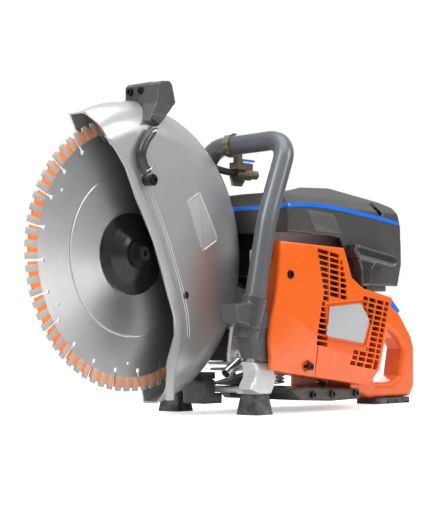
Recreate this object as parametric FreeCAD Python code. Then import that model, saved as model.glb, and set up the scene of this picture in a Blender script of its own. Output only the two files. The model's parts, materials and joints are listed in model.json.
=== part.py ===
import FreeCAD, Part
import math
import os

# A hand-held petrol cut-off saw for concrete.  Millimetres.  The model is laid out about the blade's
# arbor: X points forward, Y to the machine's left, Z up.  It is moved at the end so that the origin
# is the middle of the machine's footprint on the ground it stands on.

# ---------------------------------------------------------------- driving dimensions
blade_diameter = 350.0
blade_core_thickness = 2.8
segment_thickness = 3.6
segment_height = 18.0
segment_count = 24
slot_width = 2.6
keyhole_diameter = 6.0
keyhole_depth = 8.0
blade_bore = 20.0
groove_radius = 104.6
flange_diameter = 105.0

guard_gap = 18.0
guard_wall = 2.5
guard_far_y = -17.0
guard_bend_y = 6.0
guard_shoulder_run = 45.0
guard_near_y = 36.0
guard_handle_back_x = -31.0
guard_front_angle = 62.0
guard_rear_angle = 258.0

crank_gap = 96.5
crank_z = -86.0
standard_crank_x = -292.0
arm_near_y = -28.0
arm_far_y = -46.0
belt_width = 16.0
driven_pulley_diameter = 112.0
drive_pulley_diameter = 57.0
belt_thickness = 4.0
cover_wall = 2.5

ground_clearance = 31.8
front_foot_x = -148.0
track_left_y = 81.0
track_right_y = -62.0
foot_height = 27.0
foot_length = 34.0
foot_width = 38.0

handle_tube_diameter = 27.0
handle_tube_wall = 2.0
handle_left_y = 103.0
handle_right_y = -38.0
handle_top_z = 157.0
handle_back_x = -190.0
handle_foot_x = -172.0

machine_mid_y = 10.0
rear_reach = 298.0
rear_limb = 32.0
grip_width = 34.0

starter_face_y = 118.0
starter_rim_y = 76.0
brow_back_y = 112.5
starter_wall = 3.0

top_cover_front_x = -198.0
top_cover_rear_x = -456.0
top_cover_left_y = 97.0
top_cover_right_y = -66.0
top_cover_top_z = 104.0
top_cover_hem_z = 34.0
top_cover_wall = 2.5

bore_diameter = 51.0
fin_pitch = 7.0
fin_count = 11

hose_diameter = 12.0
cart_tube_outer = 14.0
cart_tube_bore = 11.0
cart_tube_length = 34.0
water_inlet_radius = 6.5
water_inlet_length = 14.0
trigger_pin = (-496.0, -74.0)
lockout_pin = (-537.0, -64.0)

bearing_outer = 21.0
snout_radius = 27.0
drum_radius = 41.0
drum_wall = 3.0
crank_stub_radius = 9.0
web_radius = 37.0
web_thickness = 10.0
web_spread = 26.0
flywheel_y = 62.0
flywheel_radius = 50.0
muffler_reach = 84.0

hose_near_y = 43.0
hose_far_y = -25.0

choke_x = -400.0
choke_z = -16.0
stripe_z = 69.0
stripe_height = 5.0
rope_pulley_y = 90.0
rope_pulley_radius = 36.0
eyelet_x = -341.0
eyelet_y = 112.0
rope_low_z = -46.0
grip_foot_z = -35.0
tank_neck_x = -415.0
tank_neck_z = -120.0
tray_left_y = 92.0
tray_screw_z = -184.0
tray_screw_xs = (-255, -297, -350)
housing_screw_seats = [(-177, -24), (-218, -145)]

running_clearance = 0.06
press_gap = 0.02
body_gap = 0.5
seat_gap = 0.4

blade_radius = blade_diameter / 2.0
core_radius = blade_radius - segment_height
guard_inner_radius = blade_radius + guard_gap
guard_radius = guard_inner_radius + guard_wall
flange_radius = flange_diameter / 2.0
ground_z = -(blade_radius + ground_clearance)
crank_x = -(guard_radius + crank_gap)
# The power unit is drawn as it stands behind the standard blade, and moved back for a larger one.
unit_shift = crank_x - standard_crank_x
rear_end_x = standard_crank_x - rear_reach
muffler_front_x = crank_x + muffler_reach
nozzle_z = guard_radius - 104.5
grip_left_y = machine_mid_y + grip_width / 2.0
grip_right_y = machine_mid_y - grip_width / 2.0

nodes = {}


# ---------------------------------------------------------------- small makers
def vec(x, y, z):
    return FreeCAD.Vector(x, y, z)


def rod(radius, start, end):
    start = vec(*start)
    along = vec(*end) - start
    return Part.makeCylinder(radius, along.Length, start, along)


def rod_y(radius, y0, y1, x=0.0, z=0.0):
    return rod(radius, (x, y0, z), (x, y1, z))


def ring_y(outer, inner, y0, y1, x=0.0, z=0.0):
    return rod_y(outer, y0, y1, x, z).cut(rod_y(inner, y0 - 1, y1 + 1, x, z))


def box(x0, x1, y0, y1, z0, z1):
    return Part.makeBox(x1 - x0, y1 - y0, z1 - z0, vec(x0, y0, z0))


def prism_y(outline, y0, y1):
    """A closed outline of (x, z) points, pulled along Y."""
    points = [vec(x, y0, z) for x, z in outline]
    face = Part.Face(Part.makePolygon(points + points[:1]))
    return face.extrude(vec(0, y1 - y0, 0))


def prism_x(outline, x0, x1):
    """A closed outline of (y, z) points, pulled along X."""
    points = [vec(x0, y, z) for y, z in outline]
    face = Part.Face(Part.makePolygon(points + points[:1]))
    return face.extrude(vec(x1 - x0, 0, 0))


def along(edge, axis):
    """Whether a straight edge runs parallel to the axis."""
    if not isinstance(edge.Curve, (Part.Line, Part.LineSegment)):
        return False
    return abs(abs(edge.tangentAt(edge.FirstParameter).dot(axis)) - 1.0) < 1e-6


def at_y(edge, y):
    return all(abs(point.y - y) < 1e-4 for point in edge.discretize(5))


def at_z(edge, z):
    return all(abs(point.z - z) < 1e-4 for point in edge.discretize(5))


def soften(shape, radius, chosen):
    edges = [edge for edge in shape.Edges if chosen(edge)]
    return shape.makeFillet(radius, edges)


def soften_along_y(shape, radius):
    return soften(shape, radius, lambda edge: along(edge, vec(0, 1, 0)))


def stadium_y(x0, z0, r0, x1, z1, r1, y0, y1):
    """The plate that wraps two circles of unlike size, pulled along Y."""
    span = math.hypot(x1 - x0, z1 - z0)
    heading = math.atan2(z1 - z0, x1 - x0)
    lean = math.acos((r0 - r1) / span)

    def on(x, z, radius, angle):
        return vec(x + radius * math.cos(angle), y0, z + radius * math.sin(angle))

    start_low, start_high = on(x0, z0, r0, heading - lean), on(x0, z0, r0, heading + lean)
    end_low, end_high = on(x1, z1, r1, heading - lean), on(x1, z1, r1, heading + lean)
    back = on(x0, z0, r0, heading + math.pi)
    front = on(x1, z1, r1, heading)
    wire = Part.Wire([
        Part.Arc(start_high, back, start_low).toShape(),
        Part.LineSegment(start_low, end_low).toShape(),
        Part.Arc(end_low, front, end_high).toShape(),
        Part.LineSegment(end_high, start_high).toShape(),
    ])
    return Part.Face(wire).extrude(vec(0, y1 - y0, 0))


def bent_path(points, radii):
    """Straight runs between the points, joined by tangent arcs of the given radii."""
    points = [vec(*point) for point in points]
    edges = []
    last = points[0]
    for before, corner, after, radius in zip(points, points[1:], points[2:], radii):
        inward = (before - corner).normalize()
        outward = (after - corner).normalize()
        half = math.acos(max(-1.0, min(1.0, inward.dot(outward)))) / 2.0
        reach = radius / math.tan(half)
        start = corner + inward * reach
        end = corner + outward * reach
        middle_ray = (inward + outward).normalize()
        middle = corner + middle_ray * (radius / math.sin(half) - radius)
        edges.append(Part.LineSegment(last, start).toShape())
        edges.append(Part.Arc(start, middle, end).toShape())
        last = end
    edges.append(Part.LineSegment(last, points[-1]).toShape())
    return Part.Wire(edges)


def bent_rod(points, radii, radius):
    path = bent_path(points, radii)
    start = vec(*points[0])
    heading = vec(*points[1]) - start
    section = Part.Wire(Part.makeCircle(radius, start, heading))
    return path.makePipeShell([section], True, False)


def bent_tube(points, radii, outer, inner):
    return bent_rod(points, radii, outer).cut(bent_rod(points, radii, inner))


def revolved(profile, start_angle, sweep, x=0.0, z=0.0):
    """A closed wire drawn in the radius-Y half plane, turned about the Y axis through (x, z)."""
    face = Part.Face(profile)
    face.translate(vec(x, 0, z))
    face.rotate(vec(x, 0, z), vec(0, 1, 0), -start_angle)
    if sweep >= 360.0:
        return face.revolve(vec(x, 0, z), vec(0, 1, 0), 360.0)
    return face.revolve(vec(x, 0, z), vec(0, 1, 0), -sweep)


def radial_outline(points):
    """(radius, y) points to a closed wire in the X-Y plane."""
    corners = [vec(radius, y, 0) for radius, y in points]
    return Part.makePolygon(corners + corners[:1])


def around_y(shape, count, x=0.0, z=0.0, first=0.0):
    copies = []
    for index in range(count):
        copy = shape.copy()
        copy.rotate(vec(x, 0, z), vec(0, 1, 0), -(first + index * 360.0 / count))
        copies.append(copy)
    return copies


def joined(shapes):
    whole = shapes[0].fuse(shapes[1:]) if len(shapes) > 1 else shapes[0]
    return whole.removeSplitter()


def cap_screw(radius, head_radius, at, heading, length, head_height):
    """A socket-head screw: the seat of its head is at the point, its shank runs along heading."""
    start = vec(*at)
    aim = vec(*heading).normalize()
    shank = Part.makeCylinder(radius, length, start, aim)
    head = Part.makeCylinder(head_radius, head_height, start - aim * head_height, aim)
    socket = Part.makeCylinder(head_radius * 0.5, head_height * 0.6, start - aim * head_height, aim)
    return shank.fuse(head).cut(socket)


def keep(name, shape):
    nodes[name] = shape


def keep_unit(name, shape):
    """Keeps a part of the power unit, moved back with its crank."""
    placed = shape.copy()
    placed.translate(vec(unit_shift, 0, 0))
    nodes[name] = placed


# ---------------------------------------------------------------- blade
def blade_core():
    half = blade_core_thickness / 2.0
    disc = ring_y(core_radius, blade_bore / 2.0, -half, half)
    keyhole_radius = core_radius - keyhole_depth
    slot = box(keyhole_radius, core_radius + 2, -half - 1, half + 1, -slot_width / 2, slot_width / 2)
    keyhole = rod_y(keyhole_diameter / 2.0, -half - 1, half + 1, keyhole_radius, 0)
    relief = slot.fuse(keyhole)
    for cut in around_y(relief, segment_count, first=10.2):
        disc = disc.cut(cut)
    hole_radius = keyhole_radius - 10.0
    for hole in around_y(rod_y(2.4, -half - 1, half + 1, hole_radius, 0), 6, first=32.0):
        disc = disc.cut(hole)
    groove = ring_y(groove_radius + 0.8, groove_radius - 0.8, half - 0.4, half + 1)
    keep("blade_core", disc.cut(groove))


def blade_segments():
    half = segment_thickness / 2.0
    pitch = 360.0 / segment_count
    gap_angle = math.degrees(slot_width / blade_radius)
    ring = ring_y(blade_radius, core_radius + 0.01, -half, half)
    wedge_reach = blade_radius * 1.2
    first = math.radians(gap_angle / 2.0)
    last = math.radians(pitch - gap_angle / 2.0)
    wedge = prism_y([
        (0, 0),
        (wedge_reach * math.cos(first), wedge_reach * math.sin(first)),
        (wedge_reach * math.cos(last), wedge_reach * math.sin(last)),
    ], -half - 1, half + 1)
    segment = ring.common(wedge)
    keep("blade_segments", Part.makeCompound(around_y(segment, segment_count, first=10.2)))


shaft_radius = blade_bore / 2.0 - running_clearance


def flange_profile(outer_radius, seat_y, direction):
    """A dished clamping flange: flat rim, rising cone and a flat hub."""
    def y(offset):
        return seat_y + direction * offset
    hub = blade_bore / 2.0
    return radial_outline([
        (hub, y(1.2)), (outer_radius - 12, y(1.2)), (outer_radius - 10, y(0)), (outer_radius, y(0)),
        (outer_radius, y(3.2)), (outer_radius - 12, y(4.2)), (26, y(11)), (20, y(12.5)), (hub, y(12.5)),
    ])


def blade_flanges():
    seat = blade_core_thickness / 2.0 + 0.01
    outer = revolved(flange_profile(flange_radius, seat, 1), 0, 360)
    keep("outer_flange", outer)
    inner = revolved(flange_profile(flange_radius, -seat, -1), 0, 360)
    keep("inner_flange", inner)


def blade_bolt():
    seat = blade_core_thickness / 2.0 + 12.55
    washer = ring_y(17, 5.2, seat, seat + 4)
    shank = rod_y(5.0, seat - 20, seat + 4)
    side = 8.5 / math.cos(math.pi / 6)
    hexagon = [(side * math.cos(math.radians(60 * k)), side * math.sin(math.radians(60 * k)))
               for k in range(6)]
    head = prism_y(hexagon, seat + 6, seat + 13)
    collar = rod_y(11.5, seat + 4, seat + 6)
    socket = rod_y(3.6, seat + 9, seat + 20)
    keep("blade_bolt", joined([washer, collar, shank, head]).cut(socket))


def blade_shaft():
    front = blade_core_thickness / 2.0 + 12.0
    shaft = rod_y(shaft_radius, arm_far_y - 24.0, front)
    thread = rod_y(5.0 + running_clearance, blade_core_thickness / 2.0 + 12.55 - 21, front + 1)
    shoulder = rod_y(12.5, arm_near_y + 3.0, -blade_core_thickness / 2.0 - 12.52)
    keep("blade_shaft", shaft.cut(thread).fuse(shoulder).removeSplitter())


belt_mid_y = arm_far_y - 4.0 - belt_width / 2.0


def pulley(radius, bore, x, z, spokes):
    half = belt_width / 2.0
    rim = ring_y(radius, bore, belt_mid_y - half - 1.5, belt_mid_y + half + 1.5, x, z)
    window_radius = (radius + bore) / 2.0
    window = rod_y((radius - bore) * 0.3, belt_mid_y - 30, belt_mid_y + 30, x + window_radius, z)
    for cut in around_y(window, spokes, x, z):
        rim = rim.cut(cut)
    return rim


def belt_drive():
    keep("driven_pulley", pulley(driven_pulley_diameter / 2.0, shaft_radius + 0.01, 0, 0, 6))
    outer_gap = 0.1
    half = belt_width / 2.0
    inside = stadium_y(0, 0, driven_pulley_diameter / 2.0 + outer_gap,
                       crank_x, crank_z, drive_pulley_diameter / 2.0 + outer_gap,
                       belt_mid_y - half - 1, belt_mid_y + half + 1)
    outside = stadium_y(0, 0, driven_pulley_diameter / 2.0 + outer_gap + belt_thickness,
                        crank_x, crank_z, drive_pulley_diameter / 2.0 + outer_gap + belt_thickness,
                        belt_mid_y - half, belt_mid_y + half)
    keep("drive_belt", outside.cut(inside))


# ---------------------------------------------------------------- cutting arm and belt cover
def cutting_arm():
    head = rod_y(38, arm_far_y, arm_near_y)
    beam = stadium_y(0, 0, 34, crank_x + 42, crank_z + 6, 40, arm_far_y, arm_near_y)
    snout = rod_y(snout_radius, arm_near_y - 1, guard_far_y + 3.0)
    flat = prism_y([(crank_x + 67, -44), (crank_x - 8, -44), (crank_x - 8, -142), (crank_x + 67, -125)],
                   arm_far_y, arm_near_y)
    foot_x = handle_foot_x + unit_shift
    lug = box(foot_x - 12, foot_x + 12, arm_far_y, arm_near_y, -12, 16)
    limb_end, limb_top = front_handle_route()[-1], front_handle_route()[-2]
    limb = (vec(*limb_top) - vec(*limb_end)).normalize()
    spigot = rod(handle_tube_diameter / 2.0 - handle_tube_wall - 0.05, tuple(vec(*limb_end) - limb * 8),
                 tuple(vec(*limb_end) + limb * 24))
    spigot.translate(vec(unit_shift, 0, 0))
    spigot = spigot.cut(box(foot_x - 48, foot_x + 22, arm_far_y - 20, arm_far_y, 0, 17.9))
    arm = joined([head, beam, snout, flat, lug, spigot])
    pocket = stadium_y(-60, -18, 20, crank_x + 102, crank_z + 32, 24, arm_far_y - 1, arm_far_y + 12)
    arm = arm.cut(pocket)
    arm = arm.cut(rod_y(shaft_radius + 2.0, arm_far_y - 1, 0))
    arm = arm.cut(rod_y(14.0, arm_near_y + 2.0, 0))
    arm = arm.cut(rod_y(bearing_outer, arm_far_y - 1, arm_far_y + 14.0))
    drum_room = rod_y(drum_radius + 3.0, arm_far_y - 1, arm_near_y + 1, crank_x, crank_z)
    keep("cutting_arm", arm.cut(drum_room))


def clutch():
    cup_open_y = -29.0
    cup_floor_y = arm_far_y - 0.5
    cup = rod_y(drum_radius, cup_floor_y, cup_open_y, crank_x, crank_z)
    cup = cup.cut(rod_y(drum_radius - drum_wall, cup_floor_y + 3, cup_open_y + 1, crank_x, crank_z))
    wheel = rod_y(drive_pulley_diameter / 2.0, belt_mid_y - belt_width / 2.0 - 1.5, cup_floor_y + 1,
                  crank_x, crank_z)
    bore = rod_y(crank_stub_radius + running_clearance, belt_mid_y - 40, cup_open_y + 5, crank_x, crank_z)
    keep("clutch_drum", joined([cup, wheel]).cut(bore))
    hub_radius = drum_radius - drum_wall - 1.0
    hub = ring_y(hub_radius, crank_stub_radius + 0.01, cup_floor_y + 4, cup_open_y - 1, crank_x, crank_z)
    gap = box(crank_x + 16, crank_x + hub_radius + 2, cup_floor_y, cup_open_y, crank_z - 2, crank_z + 2)
    for cut in around_y(gap, 3, crank_x, crank_z, 30):
        hub = hub.cut(cut)
    keep("clutch_hub", hub)


def crankshaft():
    webs = []
    for side in (-1, 1):
        middle = machine_mid_y + side * web_spread / 2.0
        webs.append(rod_y(web_radius, middle - web_thickness / 2.0, middle + web_thickness / 2.0,
                          crank_x, crank_z))
    inner = machine_mid_y - web_spread / 2.0
    outer = machine_mid_y + web_spread / 2.0
    right = rod_y(crank_stub_radius, belt_mid_y - belt_width / 2.0 - 4, inner, crank_x, crank_z)
    left = rod_y(crank_stub_radius, outer, flywheel_y + 18.0, crank_x, crank_z)
    keep("crankshaft", Part.makeCompound([webs[0].fuse(right), webs[1].fuse(left)]))


def flywheel():
    disc = ring_y(flywheel_radius, crank_stub_radius + 0.01, flywheel_y, flywheel_y + 7, crank_x, crank_z)
    hub = ring_y(18, crank_stub_radius + 0.01, flywheel_y, flywheel_y + 16, crank_x, crank_z)
    blade = box(crank_x + 22, crank_x + flywheel_radius - 1, flywheel_y + 6, flywheel_y + 18,
                crank_z - 1.2, crank_z + 1.2)
    blades = around_y(blade, 18, crank_x, crank_z)
    keep("flywheel", joined([disc, hub] + blades))


def fan_backplate(y):
    """The plate behind the fan wheel, which keeps the cooling air inside the housing."""
    front, back = crank_x + 127, crank_x - 70
    top = top_cover_hem_z + 24
    outline = [(front, 10), (front - 36, 14), (front - 38, top), (back + 34, top), (back, 14), (back, -58),
               (back + 4, -150), (front - 14, -148), (front, -136)]
    plate = prism_y(outline, y, y + 2.5)
    return soften_along_y(plate, 4)


def engine_block():
    mid = machine_mid_y
    wall = 5.0
    inner_half = web_spread / 2.0 + web_thickness / 2.0 + 2.0
    outline_radius = web_radius + 3.0 + wall
    for name, side, outer_y in (("crankcase_right", -1, arm_near_y + 0.02), ("crankcase_left", 1, 58.0)):
        face_y = mid + side * 0.01
        low, high = sorted((face_y, outer_y))
        case = rod_y(outline_radius, low, high, crank_x, crank_z)
        foot = box(crank_x - 58, crank_x + 62, low, high, crank_z - outline_radius - 8, crank_z - 26)
        deck = box(crank_x - 38, crank_x + 38, low, high, crank_z + 20, crank_z + outline_radius + 4)
        case = joined([case, foot, deck])
        case = soften(case, 6, lambda edge: along(edge, vec(0, 1, 0)) and
                      edge.CenterOfMass.z < crank_z - 25)
        room_low, room_high = sorted((mid, mid + side * inner_half))
        case = case.cut(rod_y(web_radius + 3.0, room_low - 0.1, room_high, crank_x, crank_z))
        case = case.cut(rod_y(crank_stub_radius + 2.5, low - 1, high + 1, crank_x, crank_z))
        bearing_low, bearing_high = sorted((mid + side * inner_half, mid + side * (inner_half + 11)))
        case = case.cut(rod_y(bearing_outer, bearing_low, bearing_high, crank_x, crank_z))
        if side > 0:
            case = joined([case, fan_backplate(outer_y - 0.1)])
            case = case.cut(rod_y(crank_stub_radius + 2.5, low - 1, high + 4, crank_x, crank_z))
        throat = Part.makeCylinder(bore_diameter / 2.0 + 1.0, 80, vec(crank_x, mid, crank_z))
        keep(name, case.cut(throat))


def bearings():
    rows = []
    half = web_spread / 2.0 + web_thickness / 2.0 + 2.0
    for y0, x, z, bore in (
        (arm_far_y + 2.5, 0, 0, shaft_radius),
        (machine_mid_y + half + 0.4, crank_x, crank_z, crank_stub_radius),
        (machine_mid_y - half - 10.6, crank_x, crank_z, crank_stub_radius),
    ):
        race = ring_y(bearing_outer - 0.02, bore + running_clearance, y0, y0 + 10.2, x, z)
        groove = ring_y(bearing_outer - 4, bore + 4, y0 - 1, y0 + 1.4, x, z)
        back = ring_y(bearing_outer - 4, bore + 4, y0 + 8.8, y0 + 12, x, z)
        rows.append(race.cut(groove).cut(back))
    keep("ball_bearings", Part.makeCompound(rows))


deck_z = crank_z + web_radius + 3.0 + 5.0 + 4.0
bore_radius = bore_diameter / 2.0
cylinder_top_z = deck_z + 96.0


def valve_axis():
    """The leaning bore of the decompression valve, from the combustion chamber out."""
    mid = machine_mid_y
    low = (crank_x + 20, mid + 16, cylinder_top_z - 21)
    high = (crank_x + 30, mid + 26, cylinder_top_z + 8)
    return low, high


def cylinder():
    mid = machine_mid_y
    barrel = Part.makeCylinder(bore_radius + 6, cylinder_top_z - deck_z - 4, vec(crank_x, mid, deck_z + 0.02))
    foot = box(crank_x - 34, crank_x + 34, mid - 34, mid + 34, deck_z + 0.02, deck_z + 8)
    parts = [barrel, soften(foot, 8, lambda edge: along(edge, vec(0, 0, 1)))]
    for index in range(fin_count):
        z0 = deck_z + 20 + index * fin_pitch
        fin = box(crank_x - 46, crank_x + 46, mid - 47, mid + 47, z0, z0 + 2.2)
        parts.append(soften(fin, 20, lambda edge: along(edge, vec(0, 0, 1))))
    port = box(crank_x + 20, crank_x + 52, mid - 20, mid + 20, deck_z + 34, deck_z + 62)
    intake = box(crank_x - 52, crank_x - 20, mid - 20, mid + 20, deck_z + 30, deck_z + 62)
    block = joined(parts + [port, intake])
    bore = Part.makeCylinder(bore_radius, cylinder_top_z - deck_z - 16, vec(crank_x, mid, deck_z - 1))
    exhaust = rod(11, (crank_x, mid, deck_z + 48), (crank_x + 60, mid, deck_z + 48))
    inlet = rod(11, (crank_x, mid, deck_z + 46), (crank_x - 60, mid, deck_z + 46))
    plug_hole = Part.makeCylinder(6.05, 60, vec(crank_x, mid, cylinder_top_z - 20))
    low, high = valve_axis()
    lean = (vec(*high) - vec(*low)).normalize()
    valve_hole = rod(4.1, tuple(vec(*low) - lean * 3), high)
    button_room = rod(7.5, tuple(vec(*high) - lean * 3), tuple(vec(*high) + lean * 30))
    keep("cylinder", block.cut(bore).cut(exhaust).cut(inlet).cut(plug_hole).cut(valve_hole).cut(button_room))


piston_top_z = cylinder_top_z - 24.0


def piston_and_rod():
    mid = machine_mid_y
    crown_radius = bore_radius - running_clearance
    height = 40.0
    body = Part.makeCylinder(crown_radius, height, vec(crank_x, mid, piston_top_z - height))
    hollow = Part.makeCylinder(crown_radius - 4, height - 6, vec(crank_x, mid, piston_top_z - height - 1))
    body = body.cut(hollow)
    for index in range(2):
        z0 = piston_top_z - 5 - 4 * index
        groove = Part.makeCylinder(crown_radius + 1, 1.5, vec(crank_x, mid, z0))
        groove = groove.cut(Part.makeCylinder(crown_radius - 2, 1.5, vec(crank_x, mid, z0)))
        body = body.cut(groove)
    keep("piston", body)
    pin_z = piston_top_z - 22
    throw_z = crank_z + 17
    half = (web_spread - web_thickness) / 2.0 - 0.5
    small_end = rod_y(9, mid - 6, mid + 6, crank_x, pin_z)
    big_end = rod_y(15, mid - 6, mid + 6, crank_x, throw_z)
    shank = box(crank_x - 6, crank_x + 6, mid - 4, mid + 4, throw_z, pin_z)
    crank_pin = rod_y(8, mid - half, mid + half, crank_x, throw_z)
    wrist_pin = rod_y(6, mid - 20, mid + 20, crank_x, pin_z)
    keep("connecting_rod", joined([small_end, big_end, shank, crank_pin, wrist_pin]))


def muffler():
    mid = machine_mid_y
    back = crank_x + 52.4
    can = box(back, muffler_front_x, mid - 34, mid + 46, deck_z + 14, deck_z + 92)
    can = soften(can, 8, lambda edge: True)
    inside = box(back + 2, muffler_front_x - 2, mid - 26, mid + 38, deck_z + 22, deck_z + 84)
    outlet = rod(8, (muffler_front_x - 8, mid + 24, deck_z + 40), (muffler_front_x + 2, mid + 24, deck_z + 40))
    keep("muffler", can.cut(inside).cut(outlet))


def intake_parts():
    mid = machine_mid_y
    face = crank_x - 52.4
    z = deck_z + 46
    boot = rod(18, (face, mid, z), (face - 12, mid, z))
    body = box(face - 46, face - 12, mid - 22, mid + 22, z - 22, z + 20)
    body = soften(body, 4, lambda edge: along(edge, vec(1, 0, 0)))
    horn = rod(17, (face - 46, mid, z), (face - 54, mid, z))
    choke_shaft = rod_y(3, mid - 30, mid + 30, face - 38, z)
    throat = rod(10, (face + 1, mid, z), (face - 60, mid, z))
    keep("carburettor", joined([boot, body, horn, choke_shaft]).cut(throat))
    filter_front = face - 54.4
    block = box(filter_front - 40, filter_front, mid - 48, mid + 66, z - 46, z + 30)
    block = soften(block, 6, lambda edge: along(edge, vec(0, 0, 1)))
    for index in range(9):
        y0 = mid - 42 + 12 * index
        block = block.cut(box(filter_front - 42, filter_front - 36, y0, y0 + 5, z - 50, z + 40))
    keep("air_filter", block)


def ignition():
    mid = machine_mid_y
    seat = cylinder_top_z - 20
    plug = Part.makeCylinder(6.0, 20, vec(crank_x, mid, seat + 6))
    hexagon = Part.makeCylinder(9, 7, vec(crank_x, mid, cylinder_top_z - 2))
    post = Part.makeCylinder(4.5, 14, vec(crank_x, mid, cylinder_top_z + 4))
    keep("spark_plug", joined([plug, hexagon, post]))
    coil = box(crank_x - 20, crank_x + 20, flywheel_y + 1, flywheel_y + 14,
               crank_z + flywheel_radius + 1.0, crank_z + flywheel_radius + 24)
    keep("ignition_coil", soften(coil, 3, lambda edge: along(edge, vec(0, 1, 0))))
    stem_low, stem_high = valve_axis()
    lean = vec(*stem_high) - vec(*stem_low)
    cap_end = vec(*stem_high) + lean.normalize() * 7
    stem = rod(4.0, stem_low, stem_high)
    button = rod(6.5, stem_high, tuple(cap_end))
    keep("decompression_valve", stem.fuse(button).removeSplitter())


def belt_cover():
    outer_front = driven_pulley_diameter / 2.0 + belt_thickness + 8.0
    outer_back = drive_pulley_diameter / 2.0 + belt_thickness + 26.0
    outside_y = belt_mid_y - belt_width / 2.0 - 8.0
    inside_y = arm_far_y - 0.02
    shell = stadium_y(0, 0, outer_front, crank_x, crank_z, outer_back, outside_y, inside_y)
    shell = soften(shell, 6, lambda edge: at_y(edge, outside_y))
    room = stadium_y(0, 0, outer_front - cover_wall, crank_x, crank_z, outer_back - cover_wall,
                     outside_y + cover_wall, inside_y + 1)
    shell = shell.cut(room)
    keep("belt_cover", shell)


# ---------------------------------------------------------------- guard
def guard_section():
    """Far wall, band, rounded shoulder and near wall, drawn in radius and Y."""
    near_in = guard_near_y - guard_wall
    far_in = guard_far_y + guard_wall
    hub = snout_radius + body_gap
    run = guard_shoulder_run
    flat_radius = guard_radius - run
    rise = guard_near_y - guard_bend_y
    bend = (run ** 2 + rise ** 2) / (2.0 * rise)
    centre_y = guard_near_y - bend

    def at(radius, y):
        return vec(radius, y, 0)

    def shoulder(bend_radius, band_radius):
        lowest = math.acos((band_radius - flat_radius) / bend_radius)
        middle = (lowest + math.pi / 2.0) / 2.0
        points = [at(flat_radius + bend_radius * math.cos(angle), centre_y + bend_radius * math.sin(angle))
                  for angle in (lowest, middle, math.pi / 2.0)]
        return points, Part.Arc(*points).toShape()

    outer_points, outer_arc = shoulder(bend, guard_radius)
    inner_points, inner_arc = shoulder(bend - guard_wall, guard_inner_radius)
    corners = [at(hub, guard_far_y), at(guard_radius, guard_far_y), outer_points[0]]
    after = [outer_points[2], at(8, guard_near_y), at(8, near_in), inner_points[2]]
    last = [inner_points[0], at(guard_inner_radius, far_in), at(hub, far_in), at(hub, guard_far_y)]
    edges = []
    for chain in (corners, after, last):
        edges += [Part.LineSegment(a, b).toShape() for a, b in zip(chain, chain[1:])]
    return Part.Wire(Part.__sortEdges__(edges + [outer_arc, inner_arc]))


# The near wall's open edge, as shares of the guard's radius.
guard_edge = [
    (0.471, 0.941), (0.419, 0.716), (0.322, 0.655), (0.225, 0.542), (0.123, 0.338), (-0.031, 0.077),
    (-0.143, -0.205), (-0.225, -0.409), (-0.230, -0.532), (-0.169, -0.685), (-0.133, -0.808),
    (-0.138, -1.176),
]


def on_guard(shares):
    return [(x * guard_radius, z * guard_radius) for x, z in shares]




def guard_shell():
    sweep = guard_rear_angle - guard_front_angle
    shell = revolved(guard_section(), guard_front_angle, sweep)
    far_reach = guard_radius + 60.0
    mouth = prism_y([(guard_radius * 0.563, far_reach)] + on_guard(guard_edge) + [(far_reach, -far_reach), (far_reach, far_reach)],
                    9.0, guard_near_y + 10)
    shell = shell.cut(mouth)
    hub = ring_y(58, snout_radius + body_gap, guard_far_y, guard_far_y + guard_wall)
    keep("guard_shell", joined([shell, hub]))
    clamp = ring_y(46, snout_radius + running_clearance, arm_near_y + 1.0, guard_far_y - 0.01)
    lug = box(-8, 8, arm_near_y + 1.0, guard_far_y - 0.01, 44, 58)
    split = box(-1.5, 1.5, arm_near_y, guard_far_y, 20, 70)
    keep("guard_clamp", joined([clamp, lug]).cut(split))


guard_hose_bends = (40, 22, 40)


def guard_hose_route(y):
    """From the guard's handle forward and down to the water nozzle on that side."""
    rim = guard_radius
    return [(4, y, rim - 41.5), (16, y, rim - 55.5), (25, y, rim - 71.5), (20, y, rim - 87.5),
            (13, y, rim - 95.7)]


def guard_handle():
    rim = guard_radius
    clear = rim + seat_gap
    back = guard_handle_back_x
    top = prism_y([(-6, clear), (-7, rim + 22.5), (-12, rim + 28.5), (back + 8, rim + 31.0), (back, rim + 24.5),
                   (back + 1, clear)], -18, 24)
    top = soften(top, 4, lambda edge: at_y(edge, 24) or at_y(edge, -18))
    leg = prism_y([(-4, rim + 9.5), (13, rim - 31.0), (9, rim - 38.5), (-8, rim - 37.0), (back + 6, rim - 12.0),
                   (back + 2, rim + 9.5)], guard_near_y + seat_gap, guard_near_y + 12)
    bridge = prism_y([(-6, rim + 4.5), (-7, rim + 21.0), (-14, rim + 27.0), (back + 3, rim + 22.5),
                      (back + 3, rim + 4.5)], 20, guard_near_y + 12)
    bridge = bridge.cut(rod_y(clear, 0, 60))
    body = joined([top, bridge, leg])
    body = body.cut(rod_y(clear, -30, guard_near_y - 0.1))
    body = body.cut(bent_rod(guard_hose_route(hose_near_y), guard_hose_bends, hose_diameter / 2.0 + press_gap))
    screws = []
    for side in (-1, 1):
        y = 3 + side * 10
        body = body.cut(rod(2.4, (-30, y, rim + 13.5), (0, y, rim + 13.5)))
        screws.append(cap_screw(2.3, 4.2, (-6.0, y, rim + 13.5), (-1, 0, 0), 18, 3.5))
    keep("guard_handle", body)
    keep("guard_screws", Part.makeCompound(screws))


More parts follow.
